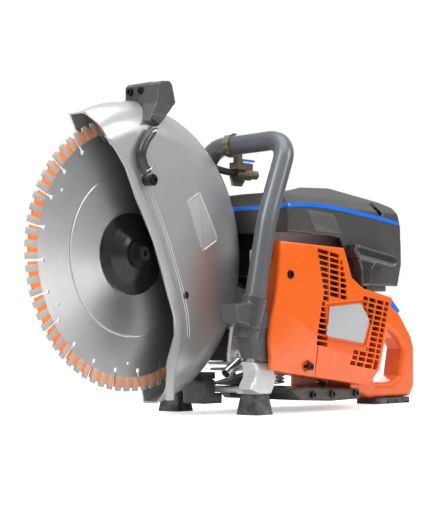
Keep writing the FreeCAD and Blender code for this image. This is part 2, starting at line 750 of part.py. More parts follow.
def guard_hoses():
    radius = hose_diameter / 2.0
    hoses = []
    fittings = []
    for y, out, wall in ((hose_near_y, 1, guard_near_y), (hose_far_y, -1, guard_far_y)):
        hoses.append(bent_rod(guard_hose_route(y), guard_hose_bends, radius))
        body = rod(radius + 1.0, (12.3, y, nozzle_z + 7.2), (7, y, nozzle_z - 2))
        base_low, base_high = sorted((wall + out * 0.02, y + out * 6))
        nut_low, nut_high = sorted((y + out * 5, y + out * 9))
        base = rod_y(7.5, base_low, base_high, 8, nozzle_z)
        nut = rod_y(5.0, nut_low, nut_high, 8, nozzle_z)
        socket_low, socket_high = sorted((y + out * 6, y + out * 10))
        socket = rod_y(2.2, socket_low, socket_high, 8, nozzle_z)
        fittings.append(joined([body, base, nut]).cut(socket))
    keep("guard_hoses", Part.makeCompound(hoses))
    keep("hose_fittings", Part.makeCompound(fittings))


def guard_plate():
    outline = [(-0.332, 0.353), (-0.465, 0.430), (-0.634, 0.148), (-0.634, 0.102), (-0.496, 0.026)]
    plate = prism_y(on_guard(outline), guard_near_y + 0.02, guard_near_y + 1.0)
    keep("guard_plate", soften_along_y(plate, 3))


# ---------------------------------------------------------------- front handle, bracket and feet
def front_handle_route():
    """From the socket in the left collar, up and over, and down to the lug on the cutting arm."""
    return [
        (-114, handle_left_y, -96),
        (-148, handle_left_y, 50),
        (handle_back_x - 6, handle_left_y - 3, handle_top_z + 2),
        (handle_back_x + 4, handle_right_y, handle_top_z - 2),
        (handle_foot_x, handle_right_y, 18),
    ]


def front_handle():
    radius = handle_tube_diameter / 2.0
    keep_unit("front_handle", bent_tube(front_handle_route(), (160, 32, 32), radius,
                                       radius - handle_tube_wall))


def handle_collar():
    left = handle_left_y
    near, far = left + 9, left - 20
    sleeve = rod(handle_tube_diameter / 2.0 + 3.0, (-111, left - 4, -108), (-123.5, left, -54))
    flare = prism_y([(-76, -65), (-95, -62), (-118, -62), (-141, -74), (-151, -88), (-150, -97),
                     (-126, -94), (-102, -92), (-84, -88)], far, near)
    flare = soften(flare, 3, lambda edge: at_y(edge, near) or at_y(edge, far))
    skirt = prism_y([(-102, -88), (-148, -92), (-154, -131), (-146, -136), (-130, -137), (-116, -132)],
                    far, near - 2)
    skirt = soften(skirt, 3, lambda edge: at_y(edge, near - 2) or at_y(edge, far))
    body = joined([sleeve, flare, skirt])
    body = body.cut(bent_rod(front_handle_route()[:3], (160,), handle_tube_diameter / 2.0 + 0.02))
    tongue = prism_y(bracket_tongue(0.05), left - 15.05, left - 2.95)
    keep_unit("handle_collar", body.cut(tongue))


def bracket_tongue(grow):
    """The bracket's upper end, which the collar slips over."""
    return [(-122 + grow, -104 + grow), (-142 - grow, -106 + grow), (-150 - grow, -136), (-150 - grow, -139),
            (-124 + grow, -139)]


foot_top_z = ground_z + foot_height


def front_bracket():
    """A cast yoke: a leg under the handle's collar, a gusset, and a cross member over both feet."""
    left = handle_left_y
    seat = foot_top_z + 0.02
    tongue = prism_y(bracket_tongue(0.0), left - 15, left - 3)
    leg = prism_y([(-122, -138), (-152, -138), (-163, -149), (-167, -157), (-163, -170), (-157, seat),
                   (-134, seat), (-118, -173), (-121, -166), (-127, -158), (-128, -148)], left - 26, left)
    leg = soften(leg, 3, lambda edge: at_y(edge, left) or at_y(edge, left - 26))
    gusset = prism_y([(-140, -92), (-155, -92), (-184, -146), (-163, -150), (-134, -138), (-134, -128)],
                     44, 50)
    neck = box(-156, -150, 44, left - 20, -148, -138.5)
    cross = box(-164, -150, track_right_y - foot_width / 2 + 3, left - 8, seat, seat + 9)
    cross = soften(cross, 3, lambda edge: along(edge, vec(0, 1, 0)))
    shelf = box(-164, -130, track_left_y - 16, left - 6, seat, seat + 6)
    right_shelf = box(-164, -130, track_right_y - 16, track_right_y + 16, seat, seat + 9)
    tie = prism_y([(-150, seat), (-164, seat), (-206, -152), (-190, -146)], 44, 56)
    ledge = box(-206, -154, -8, 50, -143, -139)
    lower_ledge = box(-206, -158, -8, 50, -151, -147)
    boss = rod(9.0, (-143.6, 61, -135.6), (-152, 61, -130.6))
    stub = box(-162, -146, 46, 64, -138, -124)
    parts = [tongue, leg, gusset, neck, cross, shelf, right_shelf, tie, ledge, lower_ledge, boss, stub]
    keep_unit("front_bracket", joined(parts))


def rubber_foot(x, y, length, width, draft):
    """A tapered rubber foot, wider on the ground than at its top."""
    def ring(z, grow):
        points = [vec(x - length / 2 - grow, y - width / 2 - grow, z),
                  vec(x + length / 2 + grow, y - width / 2 - grow, z),
                  vec(x + length / 2 + grow, y + width / 2 + grow, z),
                  vec(x - length / 2 - grow, y + width / 2 + grow, z)]
        return Part.makePolygon(points + points[:1])
    body = Part.makeLoft([ring(ground_z, 0), ring(foot_top_z, -draft)], True, True)
    return soften(body, 4, lambda edge: not at_z(edge, ground_z) and not at_z(edge, foot_top_z))


def feet():
    pair = [rubber_foot(front_foot_x, y, foot_length, foot_width, 4.0)
            for y in (track_left_y, track_right_y)]
    keep_unit("front_feet", Part.makeCompound(pair))
    sole = box(-574, -486, grip_right_y - 2, grip_left_y + 2, ground_z, ground_z + 9)
    sole = soften(sole, 3, lambda edge: along(edge, vec(0, 0, 1)))
    for index in range(4):
        x = -566 + index * 24
        sole = sole.cut(box(x, x + 6, grip_right_y - 3, grip_left_y + 3, ground_z - 1, ground_z + 3))
    keep_unit("rear_foot", sole)


def cart_fittings():
    start = vec(-143, 61, -136)
    aim = vec(1, 0, -0.6).normalize()
    outer = Part.makeCylinder(cart_tube_outer / 2.0, cart_tube_length, start, aim)
    bore = Part.makeCylinder(cart_tube_bore / 2.0, cart_tube_length + 10, start + aim * 4, aim)
    flange = Part.makeCylinder(cart_tube_outer / 2.0 + 2.5, 3.0, start, aim)
    keep_unit("cart_tube", outer.fuse(flange).removeSplitter().cut(bore))


def front_bumper():
    low = ground_z + 12.0
    body = prism_y([(-126, -162), (-150, -162), (-166, -178), (-166, low), (-126, low)], -30, 10)
    body = soften(body, 6, lambda edge: along(edge, vec(0, 1, 0)) and edge.CenterOfMass.z > -175)
    body = soften(body, 5, lambda edge: along(edge, vec(0, 0, 1)))
    notch = box(-168, -149, -31, 11, foot_top_z - 1, foot_top_z + 10)
    keep_unit("front_bumper", body.cut(notch))
    centre = vec(-146, -8, -161.98)
    ring = Part.makeCylinder(14, 9, centre)
    teeth = []
    for index in range(20):
        angle = 18 * index
        tooth = box(13, 15.5, -1.2, 1.2, 0, 9)
        tooth.rotate(vec(0, 0, 0), vec(0, 0, 1), angle)
        tooth.translate(centre)
        teeth.append(tooth)
    keep_unit("bumper_ring", joined([ring] + teeth))


# ---------------------------------------------------------------- covers
def top_cover():
    front, rear = top_cover_front_x, top_cover_rear_x
    left, right = top_cover_left_y, top_cover_right_y
    top, hem = top_cover_top_z, top_cover_hem_z
    side = [(front, hem), (front + 2, hem + 36), (front - 8, top - 14), (front - 60, top - 4),
            (front - 130, top), (rear + 40, top - 14), (rear + 10, top - 22), (rear, top - 50),
            (rear - 2, 0), (rear + 8, -34), (-366, -34), (-346, 20), (-340, hem - 4)]
    profile = prism_y(side, right, left)
    across = prism_x([(left, -60), (left, hem + 38), (left - 12, top - 18), (left - 36, top + 2),
                      (right + 24, top + 2), (right + 6, top - 18), (right, hem + 38), (right, -60)],
                     rear - 20, front + 20)
    solid = profile.common(across)
    wall = top_cover_wall
    inner_side = [(front - wall, -60), (front - wall, hem + 36), (front - 8 - wall, top - 16),
                  (front - 60, top - 4 - wall), (front - 130, top - wall), (rear + 40, top - 14 - wall),
                  (rear + 12, top - 24), (rear + wall, top - 50), (rear + wall, -60)]
    inner = prism_y(inner_side, right + wall, left - wall)
    inner_across = prism_x([(left - wall, -60), (left - wall, hem + 38), (left - 12 - wall, top - 20),
                            (left - 37, top - wall), (right + 25, top - wall), (right + 8, top - 20),
                            (right + wall, hem + 38), (right + wall, -60)], rear - 20, front + 20)
    shaft_hole = rod_y(4.6, right - 5, right + 5, choke_x, choke_z)
    keep_unit("top_cover", solid.cut(inner.common(inner_across)).cut(shaft_hole))


def cover_stripe():
    front, rear = top_cover_front_x, top_cover_rear_x
    left, right = top_cover_left_y, top_cover_right_y
    low, high = stripe_z - stripe_height / 2.0, stripe_z + stripe_height / 2.0
    proud = 0.8
    outer = box(rear + 6, front + 2 + proud + 1.2, right - proud, left + proud, low, high)
    inner = box(rear, front + 3.0, right - 0.02, left + 0.02, low - 1, high + 1)
    keep_unit("cover_stripe", outer.cut(inner))


housing_back = [
    (-160, 20), (-230, 18), (-294, 16), (-312, -24), (-338, -38), (-406, -50), (-400, -72),
    (-392, -100), (-374, -152), (-356, -173), (-254, -161), (-172, -152), (-157, -140),
]
housing_brow = [
    (-159, 20), (-230, 18), (-250, -160), (-172, -152), (-140, -148), (-136, -110), (-140, -82),
    (-148, -60), (-156, -22), (-158, 0),
]


def shrunk(outline, inset):
    """The outline drawn in towards its middle by roughly the inset."""
    middle_x = sum(x for x, z in outline) / len(outline)
    middle_z = sum(z for x, z in outline) / len(outline)
    points = []
    for x, z in outline:
        scale = 1.0 - inset / math.hypot(x - middle_x, z - middle_z)
        points.append((middle_x + (x - middle_x) * scale, middle_z + (z - middle_z) * scale))
    return points


def starter_housing():
    face = starter_face_y
    solid = prism_y(housing_back, starter_rim_y, face)
    solid = soften(solid, 7, lambda edge: at_y(edge, face))
    brow = prism_y(housing_brow, brow_back_y, face)
    brow = soften(brow, 3, lambda edge: at_y(edge, face))
    room = prism_y(shrunk(housing_back, starter_wall + 3.0), starter_rim_y - 1, face - starter_wall)
    shell = joined([solid, brow]).cut(room)
    for row in range(15):
        z0 = -4 - row * 8.0
        for x0, x1 in ((-244, -228), (-262, -247)):
            shell = shell.cut(box(x0, x1, face - 8, face + 2, z0, z0 + 4.6))
    for row in range(11):
        z0 = -68 - row * 8.0
        for x0, x1 in ((-362, -350), (-376, -365)):
            shell = shell.cut(box(x0, x1, face - 8, face + 2, z0, z0 + 4.6))
    hub = rod_y(9.0, rope_pulley_y - 2.0, face - starter_wall + 0.5, standard_crank_x, crank_z)
    shell = shell.fuse(hub)
    for x, z in housing_screw_seats:
        shell = shell.cut(rod_y(2.7, face - 12, face + 1, x, z))
        shell = shell.cut(rod_y(5.4, face - 1.5, face + 1, x, z))
    eyelet = rod(4.0, (eyelet_x, eyelet_y, -60), (eyelet_x, eyelet_y, -20))
    keep_unit("starter_housing", shell.cut(eyelet))


def starter_parts():
    wheel = rod_y(rope_pulley_radius, rope_pulley_y, rope_pulley_y + 12, crank_x, crank_z)
    groove = ring_y(rope_pulley_radius + 1, rope_pulley_radius - 6, rope_pulley_y + 3,
                    rope_pulley_y + 9, crank_x, crank_z)
    bore = rod_y(9.0 + running_clearance, rope_pulley_y - 3, rope_pulley_y + 13, crank_x, crank_z)
    keep("rope_pulley", wheel.cut(groove).cut(bore))
    keep_unit("starter_rope", rod(2.0, (eyelet_x, eyelet_y, rope_low_z), (eyelet_x, eyelet_y, grip_foot_z)))
    stem = prism_y([(-349, grip_foot_z + 0.02), (-333, grip_foot_z + 0.02), (-331, -12), (-322, 6),
                    (-372, 4), (-354, -12)], eyelet_y - 8, eyelet_y + 8)
    bar = prism_y([(-317, 22), (-313, 12), (-320, 3), (-400, -7), (-410, -4), (-411, 6), (-404, 10)],
                  eyelet_y - 12, eyelet_y + 12)
    stem = soften(stem, 3, lambda edge: at_y(edge, eyelet_y - 8) or at_y(edge, eyelet_y + 8))
    bar = soften(bar, 5, lambda edge: at_y(edge, eyelet_y - 12) or at_y(edge, eyelet_y + 12))
    keep_unit("starter_grip", joined([stem, bar]))
    badge = prism_y([(-252, -66), (-322, -60), (-342, -84), (-327, -116), (-248, -106)],
                    starter_face_y + 0.02, starter_face_y + 1.0)
    keep_unit("starter_badge", soften_along_y(badge, 3))


# ---------------------------------------------------------------- rear handle, tank and controls
def rear_handle():
    left, right = grip_left_y, grip_right_y
    rear = rear_end_x
    loop = prism_y([
        (-440, -46), (rear + 70, -52), (rear + 38, -70), (rear + 8, -104), (rear, -122), (rear, -182),
        (rear + 10, ground_z + 9.4), (-480, ground_z + 9.4), (-440, -186),
    ], right, left)
    inner = rear + rear_limb
    opening = prism_y([(-470, -84), (-508, -88), (inner + 13, -108), (inner, -124), (inner + 10, -166),
                       (inner + 30, ground_z + rear_limb), (-470, ground_z + rear_limb)], right - 1, left + 1)
    loop = loop.cut(opening)
    loop = soften(loop, 7, lambda edge: (at_y(edge, left) or at_y(edge, right)) and
                  edge.CenterOfMass.x < -486)
    tank = box(-462, -366, machine_mid_y - 52, 30, -188, -62)
    tank = soften(tank, 8, lambda edge: along(edge, vec(0, 1, 0)) or along(edge, vec(0, 0, 1)))
    wing = box(-422, -366, 22, 72, -186, -64)
    wing = soften(wing, 6, lambda edge: along(edge, vec(0, 1, 0)))
    tank = joined([tank, wing])
    tank_room = box(-456, -372, machine_mid_y - 46, 24, -182, -68)
    wing_room = box(-416, -372, 20, 66, -180, -70)
    tank_room = joined([tank_room, wing_room])
    shelf = box(-424, -362, machine_mid_y - 52, 75, -70, -58)
    neck = rod_y(17, machine_mid_y - 58, machine_mid_y - 40, tank_neck_x, tank_neck_z)
    body = joined([loop, tank, shelf, neck])
    body = body.cut(tank_room)
    body = body.cut(rod_y(12, machine_mid_y - 60, machine_mid_y - 40, tank_neck_x, tank_neck_z))
    slot = box(-529, -486, machine_mid_y - 6, machine_mid_y + 6, -110, -60)
    body = body.cut(slot)
    lock_slot = box(-560, -524, machine_mid_y - 5, machine_mid_y + 5, -84, -40)
    body = body.cut(lock_slot)
    pins = [rod_y(2.0, machine_mid_y - 8, machine_mid_y + 8, *trigger_pin),
            rod_y(1.5, machine_mid_y - 8, machine_mid_y + 8, *lockout_pin)]
    keep_unit("rear_handle", joined([body] + pins))


def controls():
    mid = machine_mid_y
    trigger = prism_y([(-492, -70), (-524, -74), (-522, -92), (-508, -106), (-500, -104), (-494, -92)],
                      mid - 5.4, mid + 5.4)
    trigger = soften(trigger, 2, lambda edge: at_y(edge, mid - 5.4) or at_y(edge, mid + 5.4))
    trigger_bore = rod_y(2.0 + running_clearance, mid - 9, mid + 9, *trigger_pin)
    keep_unit("throttle_trigger", trigger.cut(trigger_bore))
    lockout = prism_y([(-530, -62), (-532, -50), (-548, -48), (-570, -66), (-562, -72), (-552, -66),
                       (-540, -70)], mid - 4.4, mid + 4.4)
    lockout = soften(lockout, 2, lambda edge: at_y(edge, mid - 4.4) or at_y(edge, mid + 4.4))
    lockout_bore = rod_y(1.5 + running_clearance, mid - 9, mid + 9, *lockout_pin)
    keep_unit("throttle_lockout", lockout.cut(lockout_bore))
    cap = rod_y(20, mid - 70, mid - 58.4, tank_neck_x, tank_neck_z)
    plug = rod_y(12 - running_clearance, mid - 58.4, mid - 48, tank_neck_x, tank_neck_z)
    cap = joined([cap, plug])
    bar = box(tank_neck_x - 16, tank_neck_x + 16, mid - 76, mid - 69, tank_neck_z - 3, tank_neck_z + 3)
    keep_unit("fuel_cap", cap.fuse(bar).removeSplitter())
    wall_y = top_cover_right_y
    choke = rod_y(4.0, wall_y - 4, wall_y + 8.0, choke_x, choke_z)
    knob = rod_y(12, wall_y - 5, wall_y - body_gap, choke_x, choke_z)
    tab = box(choke_x - 3, choke_x + 3, wall_y - 7.5, wall_y - 3, choke_z - 11, choke_z + 11)
    keep_unit("choke_lever", joined([choke, knob, tab]))
    rocker = box(-478, -462, mid - 7, mid + 7, -46.2, -39)
    keep_unit("stop_switch", soften(rocker, 2, lambda edge: at_z(edge, -39)))


def water_valve():
    x, y, z = -226.0, -12.0, 122.0
    bar_left, bar_right = (vec(*point) for point in front_handle_route()[2:4])
    bar = (bar_left - bar_right).normalize()
    on_bar = bar_right + bar * ((y + 12 - bar_right.y) / bar.y)
    body = rod(9, (x - 18, y, z), (x + 14, y, z))
    dome = rod(7, (x, y, z), (x, y, z + 14))
    inlet = rod(water_inlet_radius, (x - 18, y, z), (x - 18 - water_inlet_length, y, z))
    plate = prism_y([(x - 24, z + 8), (x + 4, z + 13), (x + 12, z + 2), (x + 6, z - 17), (x - 12, z - 17),
                     (x - 20, z - 6)], y - 12, y - 8)
    clip = rod(handle_tube_diameter / 2.0 + 3.0, tuple(on_bar), tuple(on_bar + bar * 10))
    clip = clip.cut(rod(handle_tube_diameter / 2.0 + 0.1, tuple(on_bar - bar), tuple(on_bar + bar * 11)))
    strap = box(x - 2, x + 30, y + 6, y + 21, z + 3, z + 12)
    riser = box(x + 20, x + 30, y + 13, y + 21, z + 3, z + 28)
    hanger = joined([strap, riser]).cut(bar_room(0.1))
    keep_unit("water_valve_body", joined([body, dome, inlet, plate, hanger, clip]))
    stem = rod(3.4, (x, y, z + 14 + body_gap), (x, y, z + 18))
    lever = box(x - 24, x + 5, y - 5, y + 5, z + 17, z + 20)
    keep_unit("tap_lever", joined([stem, lever]))
    start = x + unit_shift
    route = [(start + 14.3, y, z), (start + 36, y, z), (start + 68, y - 2, z + 7),
             (start + 102, y - 20, z + 30), (-80, y - 22, guard_radius - 11), (-56, y - 8, guard_radius + 9.5),
             (guard_handle_back_x - 2.5, y, guard_radius + 13.5)]
    keep("supply_hose", bent_rod(route, (40, 60, 80, 60, 24), 5.0))


def bar_room(gap):
    """The space the front handle takes, grown by a gap."""
    return bent_rod(front_handle_route(), (160, 32, 32), handle_tube_diameter / 2.0 + gap)


def underside():
    near, far = tray_left_y, machine_mid_y - 56
    tray = prism_y([(-210, -176), (-228, -191), (-300, -194), (-362, -193), (-362, -178), (-240, -172)],
                   far, near)
    tray = soften(tray, 3, lambda edge: at_y(edge, near) or at_y(edge, far))
    nose = prism_y([(-133, -166), (-196, -153), (-212, -176), (-212, -186), (-168, -186),
                    (-168, -169.5), (-146, -169.5)], 18, 42)
    shield = prism_y([(-189, -95), (-194, -95), (-176, -138), (-160, -138)], -12, 18)
    shield_leg = prism_y([(-176, -130), (-206, -152.5), (-212, -176), (-216, -176), (-210, -138),
                          (-182, -120)], -12, -8.5)
    tray = joined([tray, nose, shield, shield_leg])
    for x in tray_screw_xs:
        tray = tray.cut(rod_y(2.7, near - 20, near + 1, x, tray_screw_z))
    keep_unit("bottom_tray", tray)
    screws = []
    for x, z in housing_screw_seats:
        screws.append(cap_screw(2.6, 5.0, (x, starter_face_y - 1.48, z), (0, -1, 0), 16, 4.0))
    for x in tray_screw_xs:
        screws.append(cap_screw(2.6, 5.0, (x, tray_left_y + 0.02, tray_screw_z), (0, -1, 0), 16, 4.0))
    keep_unit("cover_screws", Part.makeCompound(screws))


def vibration_springs():
    springs = []
    for x, y, z0, z1 in ((-244, 40, -169, -142), (-244, -14, -169, -142), (-342, 40, -175, -142)):
        wire = Part.makeHelix(4.6, z1 - z0, 8.0)
        section = Part.Wire(Part.makeCircle(1.5, vec(8, 0, 0), vec(0, 1, 0)))
        coil = Part.Wire(wire).makePipeShell([section], True, True)
        coil.translate(vec(x, y, z0))
        springs.append(coil)
    keep_unit("vibration_springs", Part.makeCompound(springs))


# ---------------------------------------------------------------- the whole machine
def build():
    blade_core()
    blade_segments()
    blade_flanges()
    blade_bolt()
    blade_shaft()
    belt_drive()
    cutting_arm()
    clutch()
    crankshaft()
    flywheel()
    engine_block()
    bearings()
    cylinder()
    piston_and_rod()
    muffler()
    intake_parts()
    ignition()
    belt_cover()
    guard_shell()
    guard_handle()
    guard_hoses()
    guard_plate()
    front_handle()
    handle_collar()
    front_bracket()
    feet()
    cart_fittings()
    front_bumper()
    top_cover()
    cover_stripe()
    starter_housing()
    starter_parts()
    rear_handle()
    controls()
    water_valve()
    underside()
    vibration_springs()


build()

front_end_x = blade_radius
right_end_y = track_right_y - foot_width / 2.0
left_end_y = eyelet_y + 12.0
origin_shift = vec(-(front_end_x + rear_end_x + unit_shift) / 2.0, -(left_end_y + right_end_y) / 2.0, -ground_z)

os.makedirs("parts", exist_ok=True)
for name, shape in nodes.items():
    placed = shape.copy()
    placed.translate(origin_shift)
    placed.exportStep("parts/" + name + ".step")
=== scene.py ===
import json
import math

import bmesh
import bpy
from mathutils import Matrix, Vector


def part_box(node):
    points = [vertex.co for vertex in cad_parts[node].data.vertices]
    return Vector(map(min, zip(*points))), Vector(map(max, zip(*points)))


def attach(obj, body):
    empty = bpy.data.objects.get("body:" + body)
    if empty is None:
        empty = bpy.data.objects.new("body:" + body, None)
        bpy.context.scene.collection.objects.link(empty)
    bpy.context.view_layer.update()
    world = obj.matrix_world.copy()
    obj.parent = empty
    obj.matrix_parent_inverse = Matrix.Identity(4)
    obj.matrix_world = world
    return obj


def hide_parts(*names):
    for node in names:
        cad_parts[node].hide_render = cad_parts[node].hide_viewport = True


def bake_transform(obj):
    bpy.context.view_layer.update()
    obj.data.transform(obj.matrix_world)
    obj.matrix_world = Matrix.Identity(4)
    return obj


# A petrol cut-off saw for concrete.  Metres, in the frame of its solid model: X forward, Y to the
# machine's left, Z up.  Sizes below are in millimetres from the blade's arbor, and at() places them.

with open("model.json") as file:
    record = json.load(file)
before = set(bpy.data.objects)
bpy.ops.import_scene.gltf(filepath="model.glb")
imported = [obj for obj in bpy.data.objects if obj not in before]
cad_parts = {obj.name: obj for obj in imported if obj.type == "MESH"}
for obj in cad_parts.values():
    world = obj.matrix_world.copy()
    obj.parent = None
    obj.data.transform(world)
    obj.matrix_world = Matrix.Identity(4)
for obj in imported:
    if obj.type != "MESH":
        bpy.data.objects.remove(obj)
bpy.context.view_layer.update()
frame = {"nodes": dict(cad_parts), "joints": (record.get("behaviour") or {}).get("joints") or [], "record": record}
joint = {j["name"]: j for j in frame["joints"]}
arbor = Vector(joint["blade_spin"]["pos_m"])
crank = Vector(joint["crank_spin"]["pos_m"])
scene = bpy.context.scene
nodes = frame["nodes"]
slot_of = {row["node"]: row["material_slot"] for row in frame["record"]["subparts"]}


def at(x, y, z):
    """A point in metres, from millimetres about the arbor."""
    return arbor + Vector((x, y, z)) / 1000.0


# ---------------------------------------------------------------- camera, floor and lights
camera_data = bpy.data.cameras.new("camera")
camera_data.lens = 103.85
camera_data.sensor_width = 36.0
camera = bpy.data.objects.new("camera", camera_data)
scene.collection.objects.link(camera)
camera.location = at(1338.4, 1368.3, -101.5)
heading, lift = math.radians(222.117), math.radians(2.815)
look = Vector((math.cos(heading) * math.cos(lift), math.sin(heading) * math.cos(lift), math.sin(lift)))
camera.rotation_euler = look.to_track_quat("-Z", "Y").to_euler()
scene.camera = camera


def lamp(name, place, aim, size, power):
    """A rectangular lamp turned towards a point."""
    light = bpy.data.lights.new(name, "AREA")
    light.shape = "RECTANGLE"
    light.size, light.size_y = size
    light.energy = power
    item = bpy.data.objects.new(name, light)
    scene.collection.objects.link(item)
    item.location = place
    item.rotation_euler = (Vector(aim) - Vector(place)).to_track_quat("-Z", "Y").to_euler()


middle = (-0.02, 0, 0.2)
lamp("top_light", (0.2, 0.3, 2.2), middle, (1.8, 1.8), 30)
lamp("front_light", (2.1, -0.2, 2.0), middle, (0.8, 1.5), 36)
lamp("side_light", (-1.2, 2.4, 1.7), middle, (1.1, 1.3), 34)
lamp("back_light", (-1.8, -2.0, 1.6), middle, (1.4, 1.4), 20)

world = bpy.data.worlds.new("studio")
scene.world = world
world.use_nodes = True
sky = world.node_tree
ray = sky.nodes.new("ShaderNodeLightPath")
direction = sky.nodes.new("ShaderNodeTexCoord")
upward = sky.nodes.new("ShaderNodeSeparateXYZ")
sky.links.new(direction.outputs["Generated"], upward.inputs[0])
fade = sky.nodes.new("ShaderNodeMapRange")
fade.inputs["From Min"].default_value = 0.04
fade.inputs["From Max"].default_value = 0.6
fade.inputs["To Min"].default_value = 0.06
fade.inputs["To Max"].default_value = 0.85
sky.links.new(upward.outputs["Z"], fade.inputs["Value"])
room = sky.nodes["Background"]
room.inputs["Color"].default_value = (0.97, 0.98, 1.0, 1)
sky.links.new(fade.outputs["Result"], room.inputs["Strength"])
paper = sky.nodes.new("ShaderNodeBackground")
paper.inputs["Color"].default_value = (1, 1, 1, 1)
seen = sky.nodes.new("ShaderNodeMixShader")
sky.links.new(ray.outputs["Is Camera Ray"], seen.inputs[0])
sky.links.new(room.outputs[0], seen.inputs[1])
sky.links.new(paper.outputs[0], seen.inputs[2])
sky.links.new(seen.outputs[0], sky.nodes["World Output"].inputs["Surface"])
scene.view_settings.view_transform = "Standard"


# ---------------------------------------------------------------- shader groups
cement = (0.52, 0.5, 0.47)
dust_height = 0.12      # metres above the ground where the dust has thinned out
groove_radius = 0.1046  # metres, the groove turned into the blade's face


def group(name, inputs, outputs):
    tree = bpy.data.node_groups.new(name, "ShaderNodeTree")
    for label, kind, value in inputs:
        made = tree.interface.new_socket(label, in_out="INPUT", socket_type=kind)
        made.default_value = value
    for label, kind in outputs:
        tree.interface.new_socket(label, in_out="OUTPUT", socket_type=kind)
    return tree, tree.nodes.new("NodeGroupInput"), tree.nodes.new("NodeGroupOutput")


def math_node(tree, kind, a, b=None):
    node = tree.nodes.new("ShaderNodeMath")
    node.operation = kind
    for index, value in enumerate((a, b)):
        if value is None:
            continue
        if isinstance(value, (int, float)):
            node.inputs[index].default_value = value
        else:
            tree.links.new(value, node.inputs[index])
    return node.outputs[0]


def remap(tree, value, low, high, new_low=0.0, new_high=1.0):
    node = tree.nodes.new("ShaderNodeMapRange")
    node.inputs["From Min"].default_value = low
    node.inputs["From Max"].default_value = high
    node.inputs["To Min"].default_value = new_low
    node.inputs["To Max"].default_value = new_high
    tree.links.new(value, node.inputs["Value"])
    return node.outputs["Result"]


def noise(tree, vector, scale, detail, roughness=0.55):
    node = tree.nodes.new("ShaderNodeTexNoise")
    node.inputs["Detail"].default_value = detail
    node.inputs["Roughness"].default_value = roughness
    if isinstance(scale, (int, float)):
        node.inputs["Scale"].default_value = scale
    else:
        tree.links.new(scale, node.inputs["Scale"])
    tree.links.new(vector, node.inputs["Vector"])
    return node.outputs["Fac"]


def object_place(tree):
    """Every material follows the object's own coordinates, which are those of the whole machine."""
    return tree.nodes.new("ShaderNodeTexCoord").outputs["Object"]


def make_grain():
    """Fine moulded or cast grain, with slow drifts of tone."""
    tree, put, out = group("grain", [("Scale", "NodeSocketFloat", 900.0)],
                           [("Height", "NodeSocketFloat"), ("Tone", "NodeSocketFloat")])
    where = object_place(tree)
    fine = noise(tree, where, put.outputs["Scale"], 2.0, 0.6)
    slow = noise(tree, where, 14.0, 4.0, 0.6)
    tree.links.new(fine, out.inputs["Height"])
    tree.links.new(remap(tree, slow, 0.3, 0.7), out.inputs["Tone"])
    return tree


def make_marks():
    """Rubs and hair scratches that dull or brighten a handled surface."""
    tree, put, out = group("marks", [("Amount", "NodeSocketFloat", 0.5)],
                           [("Mask", "NodeSocketFloat"), ("Scratch", "NodeSocketFloat")])
    where = object_place(tree)
    stretch = tree.nodes.new("ShaderNodeMapping")
    stretch.inputs["Scale"].default_value = (30.0, 30.0, 420.0)
    stretch.inputs["Rotation"].default_value = (0.4, 0.9, 0.2)
    tree.links.new(where, stretch.inputs["Vector"])
    hair = remap(tree, noise(tree, stretch.outputs["Vector"], 1.6, 2.0), 0.62, 0.72)
    rub = remap(tree, noise(tree, where, 26.0, 5.0, 0.65), 0.5, 0.72)
    tree.links.new(math_node(tree, "MULTIPLY", rub, put.outputs["Amount"]), out.inputs["Mask"])
    tree.links.new(math_node(tree, "MULTIPLY", hair, put.outputs["Amount"]), out.inputs["Scratch"])
    return tree


def make_dust():
    """Pale cement dust, thicker near the ground."""
    tree, put, out = group("dust", [("Amount", "NodeSocketFloat", 0.3), ("Reach", "NodeSocketFloat", 0.12)],
                           [("Mask", "NodeSocketFloat")])
    where = object_place(tree)
    split = tree.nodes.new("ShaderNodeSeparateXYZ")
    tree.links.new(where, split.inputs[0])
    share = math_node(tree, "DIVIDE", split.outputs["Z"], put.outputs["Reach"])
    low = remap(tree, share, 0.0, 1.0, 1.0, 0.12)
    patch = remap(tree, noise(tree, where, 60.0, 5.0, 0.7), 0.42, 0.75)
    mask = math_node(tree, "MULTIPLY", low, patch)
    tree.links.new(math_node(tree, "MULTIPLY", mask, put.outputs["Amount"]), out.inputs["Mask"])
    return tree


def make_turned():
    """Fine turning lines about an axis along Y, and the radius from it."""
    tree, put, out = group("turned", [("Centre", "NodeSocketVector", (0, 0, 0))],
                           [("Rings", "NodeSocketFloat"), ("Radius", "NodeSocketFloat")])
    where = object_place(tree)
    from_centre = tree.nodes.new("ShaderNodeVectorMath")
    from_centre.operation = "SUBTRACT"
    tree.links.new(where, from_centre.inputs[0])
    tree.links.new(put.outputs["Centre"], from_centre.inputs[1])
    split = tree.nodes.new("ShaderNodeSeparateXYZ")
    tree.links.new(from_centre.outputs[0], split.inputs[0])
    square_x = math_node(tree, "MULTIPLY", split.outputs["X"], split.outputs["X"])
    square_z = math_node(tree, "MULTIPLY", split.outputs["Z"], split.outputs["Z"])
    radius = math_node(tree, "SQRT", math_node(tree, "ADD", square_x, square_z))
    lines = tree.nodes.new("ShaderNodeTexNoise")
    lines.noise_dimensions = "1D"
    lines.inputs["Scale"].default_value = 2200.0
    lines.inputs["Detail"].default_value = 3.0
    tree.links.new(radius, lines.inputs["W"])
    tree.links.new(lines.outputs["Fac"], out.inputs["Rings"])
    tree.links.new(radius, out.inputs["Radius"])
    return tree


grain_group, marks_group, dust_group, turned_group = make_grain(), make_marks(), make_dust(), make_turned()


def use(tree, source, **values):
    node = tree.nodes.new("ShaderNodeGroup")
    node.node_tree = source
    for label, value in values.items():
        node.inputs[label].default_value = value
    return node.outputs


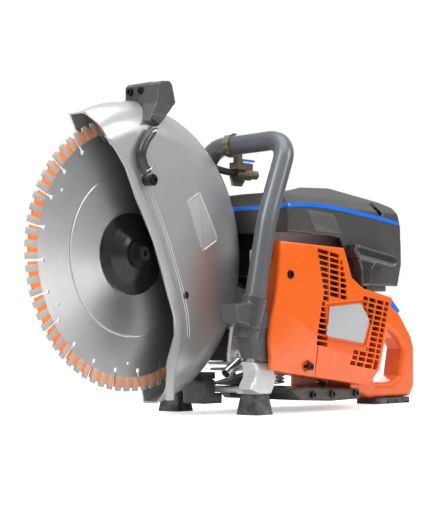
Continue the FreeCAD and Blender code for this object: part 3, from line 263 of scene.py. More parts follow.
def mix(tree, share, first, second):
    """A colour between two, either of which may be a socket."""
    node = tree.nodes.new("ShaderNodeMix")
    node.data_type = "RGBA"
    tree.links.new(share, node.inputs["Factor"])
    for socket, value in ((node.inputs[6], first), (node.inputs[7], second)):
        if isinstance(value, tuple):
            socket.default_value = (*value, 1.0)
        else:
            tree.links.new(value, socket)
    return node.outputs[2]


def material(name, colour, shade, roughness, metallic=0.0, grain=900.0, bump=0.15, marks=0.4, dust=0.15,
             rough_spread=0.12, coat=0.0, worn=None, depth=0.0002):
    """A finish that drifts between two tones, with grain, wear and dust; lengths in metres."""
    made = bpy.data.materials.new(name)
    made.use_nodes = True
    tree = made.node_tree
    surface = tree.nodes["Principled BSDF"]
    surface.inputs["Metallic"].default_value = metallic
    surface.inputs["Coat Weight"].default_value = coat
    surface.inputs["Coat Roughness"].default_value = 0.12
    fine = use(tree, grain_group, Scale=grain)
    rubbed = use(tree, marks_group, Amount=marks)
    powder = use(tree, dust_group, Amount=dust, Reach=dust_height)
    tone = mix(tree, fine["Tone"], colour, shade)
    tone = mix(tree, rubbed["Scratch"], tone, worn or tuple(min(1.0, c * 1.5 + 0.04) for c in colour))
    tone = mix(tree, powder["Mask"], tone, cement)
    tree.links.new(tone, surface.inputs["Base Color"])
    low, high = max(0.03, roughness - rough_spread), min(1.0, roughness + rough_spread)
    rough = remap(tree, rubbed["Mask"], 0.0, 1.0, low, high)
    rough = math_node(tree, "ADD", rough, math_node(tree, "MULTIPLY", powder["Mask"], 0.3))
    tree.links.new(rough, surface.inputs["Roughness"])
    height = tree.nodes.new("ShaderNodeBump")
    height.inputs["Strength"].default_value = bump
    height.inputs["Distance"].default_value = depth
    tree.links.new(fine["Height"], height.inputs["Height"])
    tree.links.new(height.outputs["Normal"], surface.inputs["Normal"])
    return made


def turned_metal(name, colour, shade, roughness, centre):
    """Bare metal with fine turning lines about a centre."""
    made = material(name, colour, shade, roughness, 1.0, grain=1500.0, bump=0.05, marks=0.5)
    tree = made.node_tree
    surface = tree.nodes["Principled BSDF"]
    rings = use(tree, turned_group, Centre=tuple(centre))
    bump = tree.nodes.new("ShaderNodeBump")
    bump.inputs["Strength"].default_value = 0.25
    bump.inputs["Distance"].default_value = 0.0001
    tree.links.new(rings["Rings"], bump.inputs["Height"])
    tree.links.new(bump.outputs["Normal"], surface.inputs["Normal"])
    return made


def blade_finish():
    """Ground steel, brushed in circles, with a turned groove round the middle."""
    made = material("ground_steel", (0.6, 0.6, 0.59), (0.52, 0.52, 0.52), 0.36, 1.0, grain=1500.0, bump=0.04,
                    marks=0.0, dust=0.03, rough_spread=0.07)
    tree = made.node_tree
    surface = tree.nodes["Principled BSDF"]
    surface.inputs["Anisotropic"].default_value = 0.85
    lay = tree.nodes.new("ShaderNodeTangent")
    lay.direction_type = "UV_MAP"
    lay.uv_map = "around"
    tree.links.new(lay.outputs["Tangent"], surface.inputs["Tangent"])
    rings = use(tree, turned_group, Centre=tuple(arbor))
    off = math_node(tree, "ABSOLUTE", math_node(tree, "SUBTRACT", rings["Radius"], groove_radius))
    groove = remap(tree, off, 0.0004, 0.0012, 1.0, 0.0)
    height = math_node(tree, "SUBTRACT", math_node(tree, "MULTIPLY", rings["Rings"], 0.12), groove)
    bump = tree.nodes.new("ShaderNodeBump")
    bump.inputs["Strength"].default_value = 0.5
    bump.inputs["Distance"].default_value = 0.0004
    tree.links.new(height, bump.inputs["Height"])
    tree.links.new(bump.outputs["Normal"], surface.inputs["Normal"])
    return made


looks = {
    "guard_alloy": material("silver_coating", (0.47, 0.475, 0.47), (0.43, 0.435, 0.435), 0.34, 0.55,
                            grain=1400, bump=0.06, marks=0.12, dust=0.05, coat=0.25, rough_spread=0.06),
    "blade_steel": blade_finish(),
    "segment_matrix": material("sintered_segment", (0.46, 0.43, 0.38), (0.34, 0.32, 0.29), 0.6, 0.2,
                               grain=2600, bump=0.5, marks=0.4),
    "rim_paint": material("rim_paint", (0.95, 0.2, 0.03), (0.85, 0.16, 0.02), 0.55, grain=2000, bump=0.4,
                          marks=0.5),
    "black_steel": material("black_oxide", (0.022, 0.022, 0.024), (0.035, 0.035, 0.036), 0.34, 0.6,
                            grain=2200, bump=0.2, marks=0.04, worn=(0.2, 0.2, 0.2)),
    "machined_steel": turned_metal("machined_steel", (0.56, 0.56, 0.57), (0.47, 0.47, 0.48), 0.3, crank),
    "cast_alloy": material("cast_alloy", (0.72, 0.72, 0.7), (0.6, 0.6, 0.59), 0.42, 0.55, grain=1100,
                           bump=0.35, depth=0.0004),
    "orange_plastic": material("orange_plastic", (0.8, 0.125, 0.005), (0.76, 0.108, 0.004), 0.34, grain=1300,
                               bump=0.1, marks=0.1, dust=0.1, worn=(0.92, 0.24, 0.04), coat=0.12),
    "dark_plastic": material("dark_plastic", (0.046, 0.046, 0.044), (0.06, 0.06, 0.056), 0.42, grain=1500,
                             bump=0.25, marks=0.12),
    "grey_plastic": material("grey_plastic", (0.05, 0.053, 0.056), (0.07, 0.073, 0.076), 0.36, grain=1300,
                             bump=0.25, marks=0.12),
    "blue_plastic": material("blue_plastic", (0.004, 0.17, 0.8), (0.004, 0.14, 0.7), 0.3, grain=1300,
                             bump=0.12, marks=0.25, coat=0.3),
    "tube_coating": material("tube_coating", (0.1, 0.106, 0.114), (0.12, 0.126, 0.135), 0.42, 0.3,
                             grain=1700, bump=0.15, marks=0.12, worn=(0.2, 0.2, 0.21)),
    "foot_rubber": material("foot_rubber", (0.022, 0.022, 0.022), (0.04, 0.04, 0.038), 0.62, grain=900,
                            bump=0.35, dust=0.35),
    "hose_rubber": material("hose_rubber", (0.024, 0.026, 0.03), (0.04, 0.042, 0.046), 0.36, grain=1200,
                            bump=0.15),
    "belt_rubber": material("belt_rubber", (0.015, 0.015, 0.015), (0.03, 0.03, 0.03), 0.7, grain=700,
                            bump=0.4),
    "zinc_plate": material("zinc_plate", (0.68, 0.71, 0.74), (0.5, 0.54, 0.58), 0.24, 0.95, grain=1800,
                           bump=0.1),
    "brass_fitting": material("dull_brass", (0.34, 0.28, 0.2), (0.22, 0.18, 0.13), 0.36, 0.8, grain=1600,
                              bump=0.2, marks=0.2),
    "badge_plate": material("badge_plate", (0.55, 0.56, 0.57), (0.5, 0.51, 0.52), 0.36, 0.35, grain=2400,
                            bump=0.1, marks=0.08),
    "filter_felt": material("filter_felt", (0.62, 0.56, 0.45), (0.5, 0.45, 0.36), 0.9, grain=600, bump=0.5),
    "grip_plastic": material("grip_plastic", (0.02, 0.021, 0.023), (0.03, 0.031, 0.033), 0.26, grain=1500,
                             bump=0.12, marks=0.1, coat=0.4),
    "panel_plastic": material("panel_plastic", (0.075, 0.075, 0.072), (0.09, 0.09, 0.086), 0.4, grain=1500,
                              bump=0.25, marks=0.1),
    "rope_fibre": material("rope_fibre", (0.04, 0.04, 0.04), (0.09, 0.09, 0.09), 0.8, grain=1400, bump=0.6),
}
for name, item in nodes.items():
    item.data.materials.clear()
    item.data.materials.append(looks[slot_of[name]])

# The floor glows for the camera alone, so it stays white and throws no extra light on the machine.
floor_look = material("floor", (0.86, 0.865, 0.87), (0.84, 0.845, 0.85), 0.8, grain=300, bump=0.02,
                      marks=0.0, dust=0.0)
floor_surface = floor_look.node_tree.nodes["Principled BSDF"]
floor_surface.inputs["Emission Color"].default_value = (1.0, 1.0, 1.0, 1.0)
floor_ray = floor_look.node_tree.nodes.new("ShaderNodeLightPath")
floor_glow = math_node(floor_look.node_tree, "MULTIPLY", floor_ray.outputs["Is Camera Ray"], 0.5)
floor_look.node_tree.links.new(floor_glow, floor_surface.inputs["Emission Strength"])


# ---------------------------------------------------------------- modelling helpers
def clear():
    if bpy.context.mode != "OBJECT":
        bpy.ops.object.mode_set(mode="OBJECT")
    bpy.ops.object.select_all(action="DESELECT")


def active(piece):
    clear()
    piece.select_set(True)
    bpy.context.view_layer.objects.active = piece


def edit(piece):
    active(piece)
    bpy.ops.object.mode_set(mode="EDIT")


def settle(piece, angle=35.0):
    """Puts the piece's place in its mesh and shades it smooth, with its sharp edges kept."""
    active(piece)
    bpy.ops.object.transform_apply(location=True, rotation=True, scale=True)
    bpy.ops.object.shade_smooth_by_angle(angle=math.radians(angle))
    return piece


def modify(piece, kind, **values):
    """Adds one modifier and applies it."""
    active(piece)
    change = piece.modifiers.new("change", kind)
    for label, value in values.items():
        setattr(change, label, value)
    bpy.ops.object.modifier_apply(modifier=change.name)


def round_edges(piece, width, segments, angle=30.0):
    """Rounds every edge sharper than an angle."""
    modify(piece, "BEVEL", width=width / 1000.0, segments=segments, limit_method="ANGLE",
           angle_limit=math.radians(angle), harden_normals=False, miter_outer="MITER_ARC")


def dress(piece, body, slot, *replaced, look=None):
    """Gives a finished piece the look of its slot, or another look if one is named, its body, and hides the solids
    it stands for.
    """
    piece.data.materials.clear()
    piece.data.materials.append(looks[look or slot])
    if body:
        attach(piece, body)
    if replaced:
        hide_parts(*replaced)
    return piece


def finer(node, width=0.0, flat=2.0):
    """A copy of a solid, merged, with its flat faces whole and its edges rounded."""
    piece = bpy.data.objects.new(node + "_finish", nodes[node].data.copy())
    scene.collection.objects.link(piece)
    edit(piece)
    bpy.ops.mesh.select_all(action="SELECT")
    bpy.ops.mesh.customdata_custom_splitnormals_clear()
    bpy.ops.mesh.remove_doubles(threshold=0.00001)
    bpy.ops.mesh.dissolve_limited(angle_limit=math.radians(flat))
    clear()
    if width:
        round_edges(piece, width, 3, 28.0)
    return piece


bpy.ops.mesh.primitive_plane_add(size=120.0, location=(0, 0, -0.0004))
floor = bpy.context.active_object
floor.name = "floor"
floor.data.materials.append(floor_look)

body_of = {n: b for b, members in frame["record"]["behaviour"]["bodies"].items() for n in members}


def pick(piece, kind, rule):
    """In edit mode, selects the vertices, edges or faces that the rule accepts."""
    bpy.ops.mesh.select_mode(type=kind)
    bpy.ops.mesh.select_all(action="DESELECT")
    mesh = bmesh.from_edit_mesh(piece.data)
    for item in {"VERT": mesh.verts, "EDGE": mesh.edges, "FACE": mesh.faces}[kind]:
        if rule(item):
            item.select_set(True)
    mesh.select_flush_mode()
    bmesh.update_edit_mesh(piece.data)


def put_points(piece, points):
    """In edit mode, moves each vertex in turn to its place, given in millimetres from the arbor."""
    bpy.ops.mesh.select_mode(type="VERT")
    for index, point in enumerate(points):
        bpy.ops.mesh.select_all(action="DESELECT")
        mesh = bmesh.from_edit_mesh(piece.data)
        mesh.verts.ensure_lookup_table()
        corner = mesh.verts[index]
        corner.select_set(True)
        bmesh.update_edit_mesh(piece.data)
        bpy.ops.transform.translate(value=at(*point) - corner.co)


def prism(name, outline, y0, y1):
    """An outline of (x, z) points, pulled along Y from y0 to y1."""
    clear()
    bpy.ops.mesh.primitive_circle_add(vertices=len(outline), radius=0.05, fill_type="NGON")
    piece = bpy.context.active_object
    piece.name = name
    edit(piece)
    put_points(piece, [(x, y0, z) for x, z in outline])
    bpy.ops.mesh.select_all(action="SELECT")
    bpy.ops.mesh.extrude_region_move(TRANSFORM_OT_translate={"value": (0, (y1 - y0) / 1000.0, 0)})
    bpy.ops.mesh.select_all(action="SELECT")
    bpy.ops.mesh.normals_make_consistent(inside=False)
    clear()
    return piece


def bevel_edges(piece, rule, width, segments):
    """Rounds the edges that the rule accepts."""
    edit(piece)
    pick(piece, "EDGE", rule)
    bpy.ops.mesh.bevel(offset=width / 1000.0, offset_type="OFFSET", segments=segments, affect="EDGES")
    clear()


def on_plane_y(y):
    """A rule for edges that lie wholly at one level along Y."""
    level = at(0, y, 0).y
    return lambda edge: all(abs(corner.co.y - level) < 0.00005 for corner in edge.verts)


def slab(x0, x1, y0, y1, z0, z1, turn=0.0):
    """A block between two corners, turned about Y through its middle."""
    clear()
    low, high = at(x0, y0, z0), at(x1, y1, z1)
    bpy.ops.mesh.primitive_cube_add(size=1.0, location=(low + high) / 2, rotation=(0, turn, 0),
                                    scale=high - low)
    return bpy.context.active_object


def barrel(radius, start, end, sides=32):
    """A round bar between two points."""
    clear()
    a, b = at(*start), at(*end)
    bpy.ops.mesh.primitive_cylinder_add(radius=radius / 1000.0, depth=(b - a).length, vertices=sides,
                                        location=(a + b) / 2,
                                        rotation=(b - a).to_track_quat("Z", "Y").to_euler())
    return bpy.context.active_object


def merge(pieces, name=None):
    """Joins several pieces into the first of them."""
    clear()
    for piece in pieces:
        piece.select_set(True)
    bpy.context.view_layer.objects.active = pieces[0]
    bpy.ops.object.join()
    if name:
        pieces[0].name = name
    return pieces[0]


def cut(piece, tool, how="DIFFERENCE"):
    """Takes a tool out of a piece, or with UNION runs the two together."""
    active(tool)
    bpy.ops.object.transform_apply(location=True, rotation=True, scale=True)
    modify(piece, "BOOLEAN", object=tool, operation=how, solver="EXACT")
    bpy.data.objects.remove(tool)
    return piece


def moulded(node, voxel, passes, share, extra=(), less=()):
    """A copy of a solid, run together and softened the way a moulding or casting is."""
    piece = finer(node)
    for more in extra:
        cut(piece, more, "UNION")
    for tool in less:
        cut(piece, tool)
    modify(piece, "REMESH", mode="VOXEL", voxel_size=voxel / 1000.0)
    modify(piece, "SMOOTH", factor=0.5, iterations=passes)
    modify(piece, "DECIMATE", ratio=share)
    active(piece)
    bpy.ops.object.shade_smooth()
    return piece


def loft(name, rows):
    """A sheet through rows of points."""
    clear()
    bpy.ops.mesh.primitive_grid_add(x_subdivisions=len(rows[0]) - 1, y_subdivisions=len(rows) - 1, size=0.1)
    piece = bpy.context.active_object
    piece.name = name
    edit(piece)
    put_points(piece, [point for row in rows for point in row])
    clear()
    return piece


def hose(name, points, diameter):
    """A round hose along a smooth line through control points."""
    curve = bpy.data.curves.new(name, "CURVE")
    curve.dimensions = "3D"
    curve.resolution_u = 16
    curve.bevel_depth = diameter / 2000.0
    curve.bevel_resolution = 8
    curve.use_fill_caps = True
    line = curve.splines.new("NURBS")
    line.points.add(len(points) - 1)
    for control, point in zip(line.points, points):
        control.co = (*at(*point), 1.0)
    line.order_u = 3
    line.use_endpoint_u = True
    piece = bpy.data.objects.new(name, curve)
    scene.collection.objects.link(piece)
    active(piece)
    bpy.ops.object.convert(target="MESH")
    piece = bpy.context.active_object
    piece.name = name
    bpy.ops.object.shade_smooth()
    return piece


# ---------------------------------------------------------------- blade
tooth_count = 24
first_slot = 10.2       # degrees about the arbor, where the first slot in the rim lies
tooth_root = 156.9      # the radius where the segments start


def blade_disc():
    """The steel centre: rings drawn out from the bore, slotted at the rim."""
    clear()
    bpy.ops.mesh.primitive_circle_add(vertices=288, radius=0.01, fill_type="NOTHING", location=arbor,
                                      rotation=(math.pi / 2, 0, 0))
    disc = bpy.context.active_object
    disc.name = "blade_disc"
    edit(disc)
    reach = 0.010
    for radius in (0.03, 0.05, 0.07, 0.09, 0.11, 0.13, 0.145, 0.157):
        bpy.ops.mesh.extrude_region_move()
        bpy.ops.transform.resize(value=(radius / reach, radius / reach, radius / reach),
                                 center_override=arbor)
        reach = radius
    clear()
    active(disc)
    bpy.ops.object.transform_apply(location=True, rotation=True, scale=True)
    modify(disc, "SOLIDIFY", thickness=0.0028, offset=0.0)
    tools = []
    for index in range(tooth_count):
        angle = math.radians(first_slot + 360.0 / tooth_count * index)
        spoke = Vector((math.cos(angle), 0, math.sin(angle)))
        slot = slab(-4.5, 5.5, -3, 3, -1.3, 1.3)
        slot.location = arbor + spoke * 0.1535
        slot.rotation_euler = (0, -angle, 0)
        eye = barrel(3.0, (0, -3, 0), (0, 3, 0), 20)
        eye.location = arbor + spoke * 0.149
        tools += [slot, eye]
    for tool in tools:
        cut(disc, tool)
    hole_tools = []
    for index in range(6):
        angle = math.radians(32.0 + 60.0 * index)
        eye = barrel(2.4, (0, -3, 0), (0, 3, 0), 20)
        eye.location = arbor + Vector((math.cos(angle), 0, math.sin(angle))) * 0.139
        hole_tools.append(eye)
    cut(disc, merge(hole_tools))
    settle(disc, 30)
    around = disc.data.uv_layers.new(name="around")
    for face in disc.data.polygons:
        whole = math.atan2(face.center.z - arbor.z, face.center.x - arbor.x)
        for loop in face.loop_indices:
            spot = disc.data.vertices[disc.data.loops[loop].vertex_index].co - arbor
            angle = math.atan2(spot.z, spot.x)
            angle += math.tau * round((whole - angle) / math.tau)
            around.data[loop].uv = (angle, math.hypot(spot.x, spot.z))
    return dress(disc, "blade", "blade_steel", "blade_core")


def tooth(first, last, outer, half):
    """One block of a rim segment, between two angles in degrees from the first slot."""
    inner = tooth_root
    middle_radius = (inner + outer) / 2
    angle = math.radians(first_slot + (first + last) / 2)
    width = math.radians(last - first) * middle_radius
    block = slab(-(outer - inner) / 2, (outer - inner) / 2, -half, half, -width / 2, width / 2)
    block.location = arbor + Vector((math.cos(angle), 0, math.sin(angle))) * middle_radius / 1000.0
    block.rotation_euler = (0, -angle, 0)
    active(block)
    bpy.ops.object.transform_apply(location=True, rotation=True, scale=True)
    return block


def ringed(piece, count, name):
    """Copies of a piece turned about the arbor, joined with it."""
    copies = [piece]
    for index in range(1, count):
        copy = bpy.data.objects.new(name, piece.data.copy())
        scene.collection.objects.link(copy)
        turn = Matrix.Translation(arbor) @ Matrix.Rotation(2 * math.pi * index / count, 4, "Y")
        copy.data.transform(turn @ Matrix.Translation(-arbor))
        copies.append(copy)
    return merge(copies, name)


def blade_rim():
    """The grey blocks of the segments, and the lower painted filling between them."""
    grey = merge([tooth(a, b, 175.0, 1.8) for a, b in ((0.5, 3.3), (5.4, 8.4), (10.5, 13.3))], "rim_teeth")
    round_edges(grey, 0.5, 2)
    grey = settle(ringed(grey, tooth_count, "rim_teeth"))
    dress(grey, "blade", "segment_matrix", "blade_segments")
    paint = merge([tooth(a, b, 170.5, 1.55) for a, b in ((3.2, 5.5), (8.3, 10.6), (13.2, 14.5))],
                  "rim_filling")
    round_edges(paint, 0.4, 2)
    paint = settle(ringed(paint, tooth_count, "rim_filling"))
    dress(paint, "blade", "segment_matrix", look="rim_paint")


blade_disc()
blade_rim()


# ---------------------------------------------------------------- starter housing
crank_at = (crank - arbor) * 1000.0
housing_face = 118.0    # the level of the housing's flat outer face
guard_wall = 36.0       # the level of the guard's flat outer wall
vent_pitch = 7.75       # from one row of slots to the next
badge_outline = [(-256, -65), (-328, -59), (-348, -83), (-334, -115), (-251, -105)]


def badge_edge(z, side):
    """Where the badge's outline crosses a height, on its front or rear side."""
    found = []
    for (x0, z0), (x1, z1) in zip(badge_outline, badge_outline[1:] + badge_outline[:1]):
        if min(z0, z1) <= z <= max(z0, z1) and abs(z1 - z0) > 0.01:
            found.append(x0 + (x1 - x0) * (z - z0) / (z1 - z0))
    return (max(found) if side == "front" else min(found)) if found else None


def vent_slots():
    """Slots as (x0, x1, z), in sloping rows: up to three columns in front, four behind."""
    rows = []
    for index in range(19):
        level = 9.0 - vent_pitch * index
        front = -233.0 - 15.0 * max(0.0, 1.0 - abs(level + 45.0) / 60.0)
        if level > -47.0:
            rows += [(front, -258.5, level), (-261.0, -281.5, level)]
            rear = -289.0 - max(0.0, -level) * 0.36
            if level < 2.0:
                rows.append((-284.0, max(rear, -298.0), level))
        elif level > -56.0:
            rows.append((front, -258.5, level))
        elif level > -122.0:
            rows.append((front, -250.5 + 0.09 * (level + 65.0), level))
    for index in range(13):
        level = -39.0 - vent_pitch * index
        shift = 0.30 * vent_pitch * index
        for x0, x1 in ((-336, -347.5), (-350, -365.5), (-368, -384), (-386.5, -396)):
            x0, x1 = x0 + shift, x1 + shift
            edge = badge_edge(level - 4, "rear")
            if edge is not None and x0 > edge - 6.5:
                x0 = edge - 6.5
            if index == 12 and x0 > -300.0:
                continue
            if x0 - x1 > 3.0:
                rows.append((x0, x1, level))
    return rows


def grown(outline, step):
    """An outline with each side moved outwards by a step."""
    turn = sum(x0 * z1 - x1 * z0 for (x0, z0), (x1, z1) in zip(outline, outline[1:] + outline[:1]))
    sign = 1.0 if turn > 0 else -1.0
    result = []
    for index, spot in enumerate(outline):
        before, after = outline[index - 1], outline[(index + 1) % len(outline)]
        first = Vector((spot[0] - before[0], spot[1] - before[1])).normalized()
        second = Vector((after[0] - spot[0], after[1] - spot[1])).normalized()
        normal = Vector((first.y + second.y, -first.x - second.x)) * sign
        normal.normalize()
        reach = step / max(0.3, normal.dot(Vector((first.y, -first.x)) * sign))
        result.append((spot[0] + normal.x * reach, spot[1] + normal.y * reach))
    return result


def wedge(outline, y, lean):
    """A cutter whose low edge leans inwards: the outline starts with its two upper points."""
    piece = prism("wedge", outline, y, y + 6)
    low = at(0, 0, min(z for _, z in outline) + 1).z
    edit(piece)
    pick(piece, "VERT", lambda corner: corner.co.z < low and corner.co.y < at(0, y + 1, 0).y)
    bpy.ops.transform.translate(value=(0, -lean / 1000.0, 0))
    clear()
    return piece


housing_room = [(-162, 14), (-230, 12), (-289, 11), (-307, -27), (-336, -43), (-399, -55), (-394, -72),
                (-386, -100), (-163, -100)]
lower_room = [(-163, -102), (-385, -102), (-369, -148), (-353, -166), (-255, -155), (-175, -146),
              (-163, -136)]


def starter_housing():
    """A hollow shell with a brow at the front, leaning in below, with the badge's frame and the grille."""
    face = housing_face
    main = [(-157, 20), (-230, 18), (-294, 16), (-312, -24), (-338, -38), (-406, -50), (-400, -72),
            (-392, -100), (-374, -152), (-356, -173), (-254, -161), (-172, -152), (-157, -140)]
    piece = prism("housing_shell", main, 76, face)
    brow = prism("brow", [(-157, 20), (-230, 18), (-250, -160), (-172, -152), (-140, -148), (-136, -110),
                          (-140, -82), (-148, -60), (-155, -22), (-157, 0)], 112.5, face)
    cut(piece, brow, "UNION")
    edit(piece)
    bpy.ops.mesh.select_all(action="SELECT")
    bpy.ops.mesh.remove_doubles(threshold=0.00002)
    bpy.ops.mesh.dissolve_limited(angle_limit=math.radians(1.0))
    clear()
    cut(piece, wedge([(-130, -134), (-236, -108), (-236, -190), (-130, -190)], face, 11.0))
    cut(piece, wedge([(-235.3, -117), (-381, -150), (-381, -191), (-235.3, -191)], face, 10.5))
    frame_rim = prism("badge_frame", grown(badge_outline, 3.6), face - 1.5, face + 1.5)
    bevel_edges(frame_rim, on_plane_y(face + 1.5), 1.2, 3)
    cut(piece, frame_rim, "UNION")
    cut(piece, prism("badge_seat", grown(badge_outline, 0.3), face + 0.01, face + 4))
    bevel_edges(piece, lambda edge: on_plane_y(face)(edge) and edge.calc_face_angle(0) > 0.5, 3.5, 5)
    cut(piece, prism("room", housing_room, 70, face - 3.2))
    cut(piece, prism("lower_room", lower_room, 70, face - 14.0))
    tools = []
    fall = math.radians(8.0)
    for x0, x1, level in vent_slots():
        drop = ((x0 + x1) / 2 + 245) * math.tan(fall)
        tools.append(slab(x1, x0, face - 16, face + 4, level - 2.8 + drop, level + 2.8 + drop, -fall))
    cut(piece, merge(tools, "grille"))
    cut(piece, barrel(4.6, (-364, face - 16, -145), (-364, face + 3, -145)))
    cut(piece, prism("recess", [(-206, -139), (-218, -136), (-226, -140), (-226, -148), (-214, -152),
                                (-206, -148)], face - 9, face + 2))
    cut(piece, barrel(6.2, (-177, face - 6, -24), (-177, face + 2, -24)))
    cut(piece, barrel(6.6, (-177, face - 7.0, -24), (-177, face - 3.0, -24)), "UNION")
    return dress(settle(piece, 32), "root", "orange_plastic", "starter_housing")


def air_guide_and_shade():
    """The dark sheet behind the grille that leads the cooling air to the fan; its dark colour is also painted
    shade, so every slot reads as dark as the shadow in the housing.
    """
    sheet = prism("air_guide_and_shade", grown(housing_room[:-1] + lower_room[1:], -2.0), 99.0, 100.4)
    cut(sheet, barrel(27.0, (crank_at.x, 95, crank_at.z), (crank_at.x, 104, crank_at.z)))
    round_edges(sheet, 0.4, 2)
    # Dark plastic: partly the real air guide's colour and partly painted shade for the dark seen through the
    # slots.
    return dress(settle(sheet, 30), "root", "dark_plastic")


def rimmed_plate(name, outline, y0, y1, body, slot, node, rim, corner=5.0):
    """A thin plate with a raised rim round it."""
    piece = prism(name, outline, y0, y1)
    bevel_edges(piece, lambda edge: abs(edge.verts[0].co.y - edge.verts[1].co.y) > 0.0003, corner, 5)
    edit(piece)
    level = at(0, y1, 0).y
    pick(piece, "FACE", lambda side: all(abs(v.co.y - level) < 0.00005 for v in side.verts))
    bpy.ops.mesh.inset(thickness=0.0006, depth=0.0)
    bpy.ops.mesh.inset(thickness=rim / 1000.0, depth=0.0)
    bpy.ops.mesh.inset(thickness=0.0006, depth=-0.0007)
    bpy.ops.transform.resize(value=(1.0, 0.0, 1.0), center_override=at(0, y1 - 0.7, 0))
    clear()
    return dress(settle(piece, 25), body, slot, node)


starter_housing()
air_guide_and_shade()
rimmed_plate("badge_blank", badge_outline, housing_face + 0.02, housing_face + 1.6, "root", "badge_plate",
             "starter_badge", 1.4)
rimmed_plate("guard_label_blank", [(-65, 69), (-91, 84), (-124, 29), (-124, 20), (-97, 5)],
             guard_wall + 0.02, guard_wall + 1.4, "guard", "badge_plate", "guard_plate", 1.6, 2.5)


# ---------------------------------------------------------------- mouldings and castings
def filter_cover():
    """The top cover, with its flank drawn forward over the housing's slope and a slot at the rear."""
    flank = prism("flank", [(-372, -35), (-346, -35), (-331, -22), (-316, 22), (-309, 34), (-345, 40),
                            (-372, 0)], 94.4, 96.9)
    slit = prism("slit", [(-394, 83), (-402, 84), (-411, 69), (-403, 68)], 85, 100)
    piece = moulded("top_cover", 1.4, 14, 0.35, extra=(flank,), less=(slit,))
    dress(piece, "root", "dark_plastic", "top_cover")
    # A glossy black sheet just behind the slot: painted shade, so the slot reads as dark as the shadow inside the
    # cover.
    shade_backing = prism("slit_painted_shade", [(-392, 85), (-402, 86), (-413, 67), (-403, 66)], 85.5, 87.0)
    round_edges(shade_backing, 0.4, 2)
    dress(settle(shade_backing), "root", "dark_plastic", look="grip_plastic")
    low, high = (corner - arbor for corner in map(Vector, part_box("air_filter")))
    low, high = low * 1000.0, high * 1000.0
    tray = slab(low.x - 3.5, high.x + 3.5, low.y - 3.5, high.y + 3.5, low.z - 3.0, low.z + 18.0)
    tray.name = "filter_tray"
    active(tray)
    bpy.ops.object.transform_apply(location=True, rotation=True, scale=True)
    cut(tray, slab(low.x - 1.0, high.x + 1.0, low.y - 1.0, high.y + 1.0, low.z - 0.8, low.z + 30.0))
    round_edges(tray, 1.0, 3)
    dress(settle(tray), "root", "dark_plastic")
    panel = prism("cover_panel", [(-238, 66), (-296, 64), (-315, 37), (-256, 38)], 96.7, 97.5)
    round_edges(panel, 0.35, 2)
    dress(settle(panel), "root", "dark_plastic", look="panel_plastic")


filter_cover()
for node, voxel, passes, share in (("handle_collar", 0.8, 6, 0.4), ("front_bracket", 1.0, 6, 0.4),
                                   ("front_bumper", 0.9, 5, 0.4), ("starter_grip", 0.6, 8, 0.35),
                                   ("rear_handle", 1.2, 8, 0.35), ("bottom_tray", 1.1, 4, 0.4),
                                   ("cutting_arm", 1.2, 3, 0.3)):
    dress(moulded(node, voxel, passes, share), body_of[node], slot_of[node], node,
          look="grip_plastic" if node == "starter_grip" else None)
dress(settle(finer("belt_cover", 1.5)), body_of["belt_cover"], slot_of["belt_cover"], "belt_cover")


def belt_cover_trim():
    """A raised panel on the belt cover's outer face, and the screws round it."""
    low, high = ((Vector(corner) - arbor) * 1000.0 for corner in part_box("belt_cover"))
    face, front, rear = low.y, high.x, crank_at.x - low.x
    lean = math.atan2(-crank_at.z, -crank_at.x)
    blade_end, crank_end = (0.0, 0.0), (crank_at.x, crank_at.z)
    outline = []
    for centre, radius, start in ((blade_end, front - 13.0, -90.0), (crank_end, rear - 11.0, 90.0)):
        for step in range(15):
            angle = lean + math.radians(start + 180.0 * step / 14)
            outline.append((centre[0] + radius * math.cos(angle), centre[1] + radius * math.sin(angle)))
    panel = prism("belt_panel", outline, face + 1.0, face - 1.2)
    bevel_edges(panel, on_plane_y(face - 1.2), 0.9, 3)
    dress(settle(panel), "root", "dark_plastic", look="panel_plastic")
    heads = []
    for centre, radius, angles in ((blade_end, front - 7.0, (60.0, -55.0)),
                                   (crank_end, rear - 6.0, (125.0, -110.0, 175.0))):
        for turn in angles:
            x = centre[0] + radius * math.cos(lean + math.radians(turn))
            z = centre[1] + radius * math.sin(lean + math.radians(turn))
            head = barrel(4.2, (x, face + 0.5, z), (x, face - 2.4, z), 28)
            active(head)
            bpy.ops.object.transform_apply(location=True, rotation=True, scale=True)
            round_edges(head, 0.5, 2)
            cut(head, barrel(2.2, (x, face - 1.0, z), (x, face - 4.0, z), 6))
            heads.append(head)
    dress(settle(merge(heads, "belt_cover_screws"), 30), "root", "black_steel")


belt_cover_trim()


def cover_stripe():
    """A band let into the cover all round, level across the front and falling towards the rear."""
    path = [(-440, -66.7, 58), (-340, -66.7, 69), (-250, -66.7, 72), (-206, -66.7, 70), (-199.5, -64, 69.5),
            (-196.7, -57, 69), (-196.7, 0, 69), (-196.7, 88, 69), (-198.5, 95, 69.5), (-206, 97.6, 70.5),
            (-234, 97.6, 73), (-280, 97.6, 73), (-327, 97.6, 70), (-376, 97.6, 66), (-427, 97.6, 61),
            (-447, 97.6, 58)]
    rows = [[(x, y, z - 2.6) for x, y, z in path], [(x, y, z + 2.6) for x, y, z in path]]
    band = loft("cover_band", rows)
    modify(band, "SUBSURF", subdivision_type="SIMPLE", levels=3, render_levels=3)
    modify(band, "SHRINKWRAP", target=bpy.data.objects["top_cover_finish"],
           wrap_method="NEAREST_SURFACEPOINT", wrap_mode="OUTSIDE", offset=0.0005)
    modify(band, "SOLIDIFY", thickness=0.0012, offset=0.0)
    edit(band)
    bpy.ops.mesh.select_all(action="SELECT")
    bpy.ops.mesh.normals_make_consistent(inside=False)
    clear()
    return dress(settle(band), "root", "blue_plastic", "cover_stripe")


cover_stripe()


# ---------------------------------------------------------------- guard
guard_edge = [(92, 184), (82, 140), (63, 128), (44, 106), (24, 66), (-6, 15), (-28, -40), (-44, -80),
              (-45, -104), (-33, -134), (-27, -158), (-27, -186)]


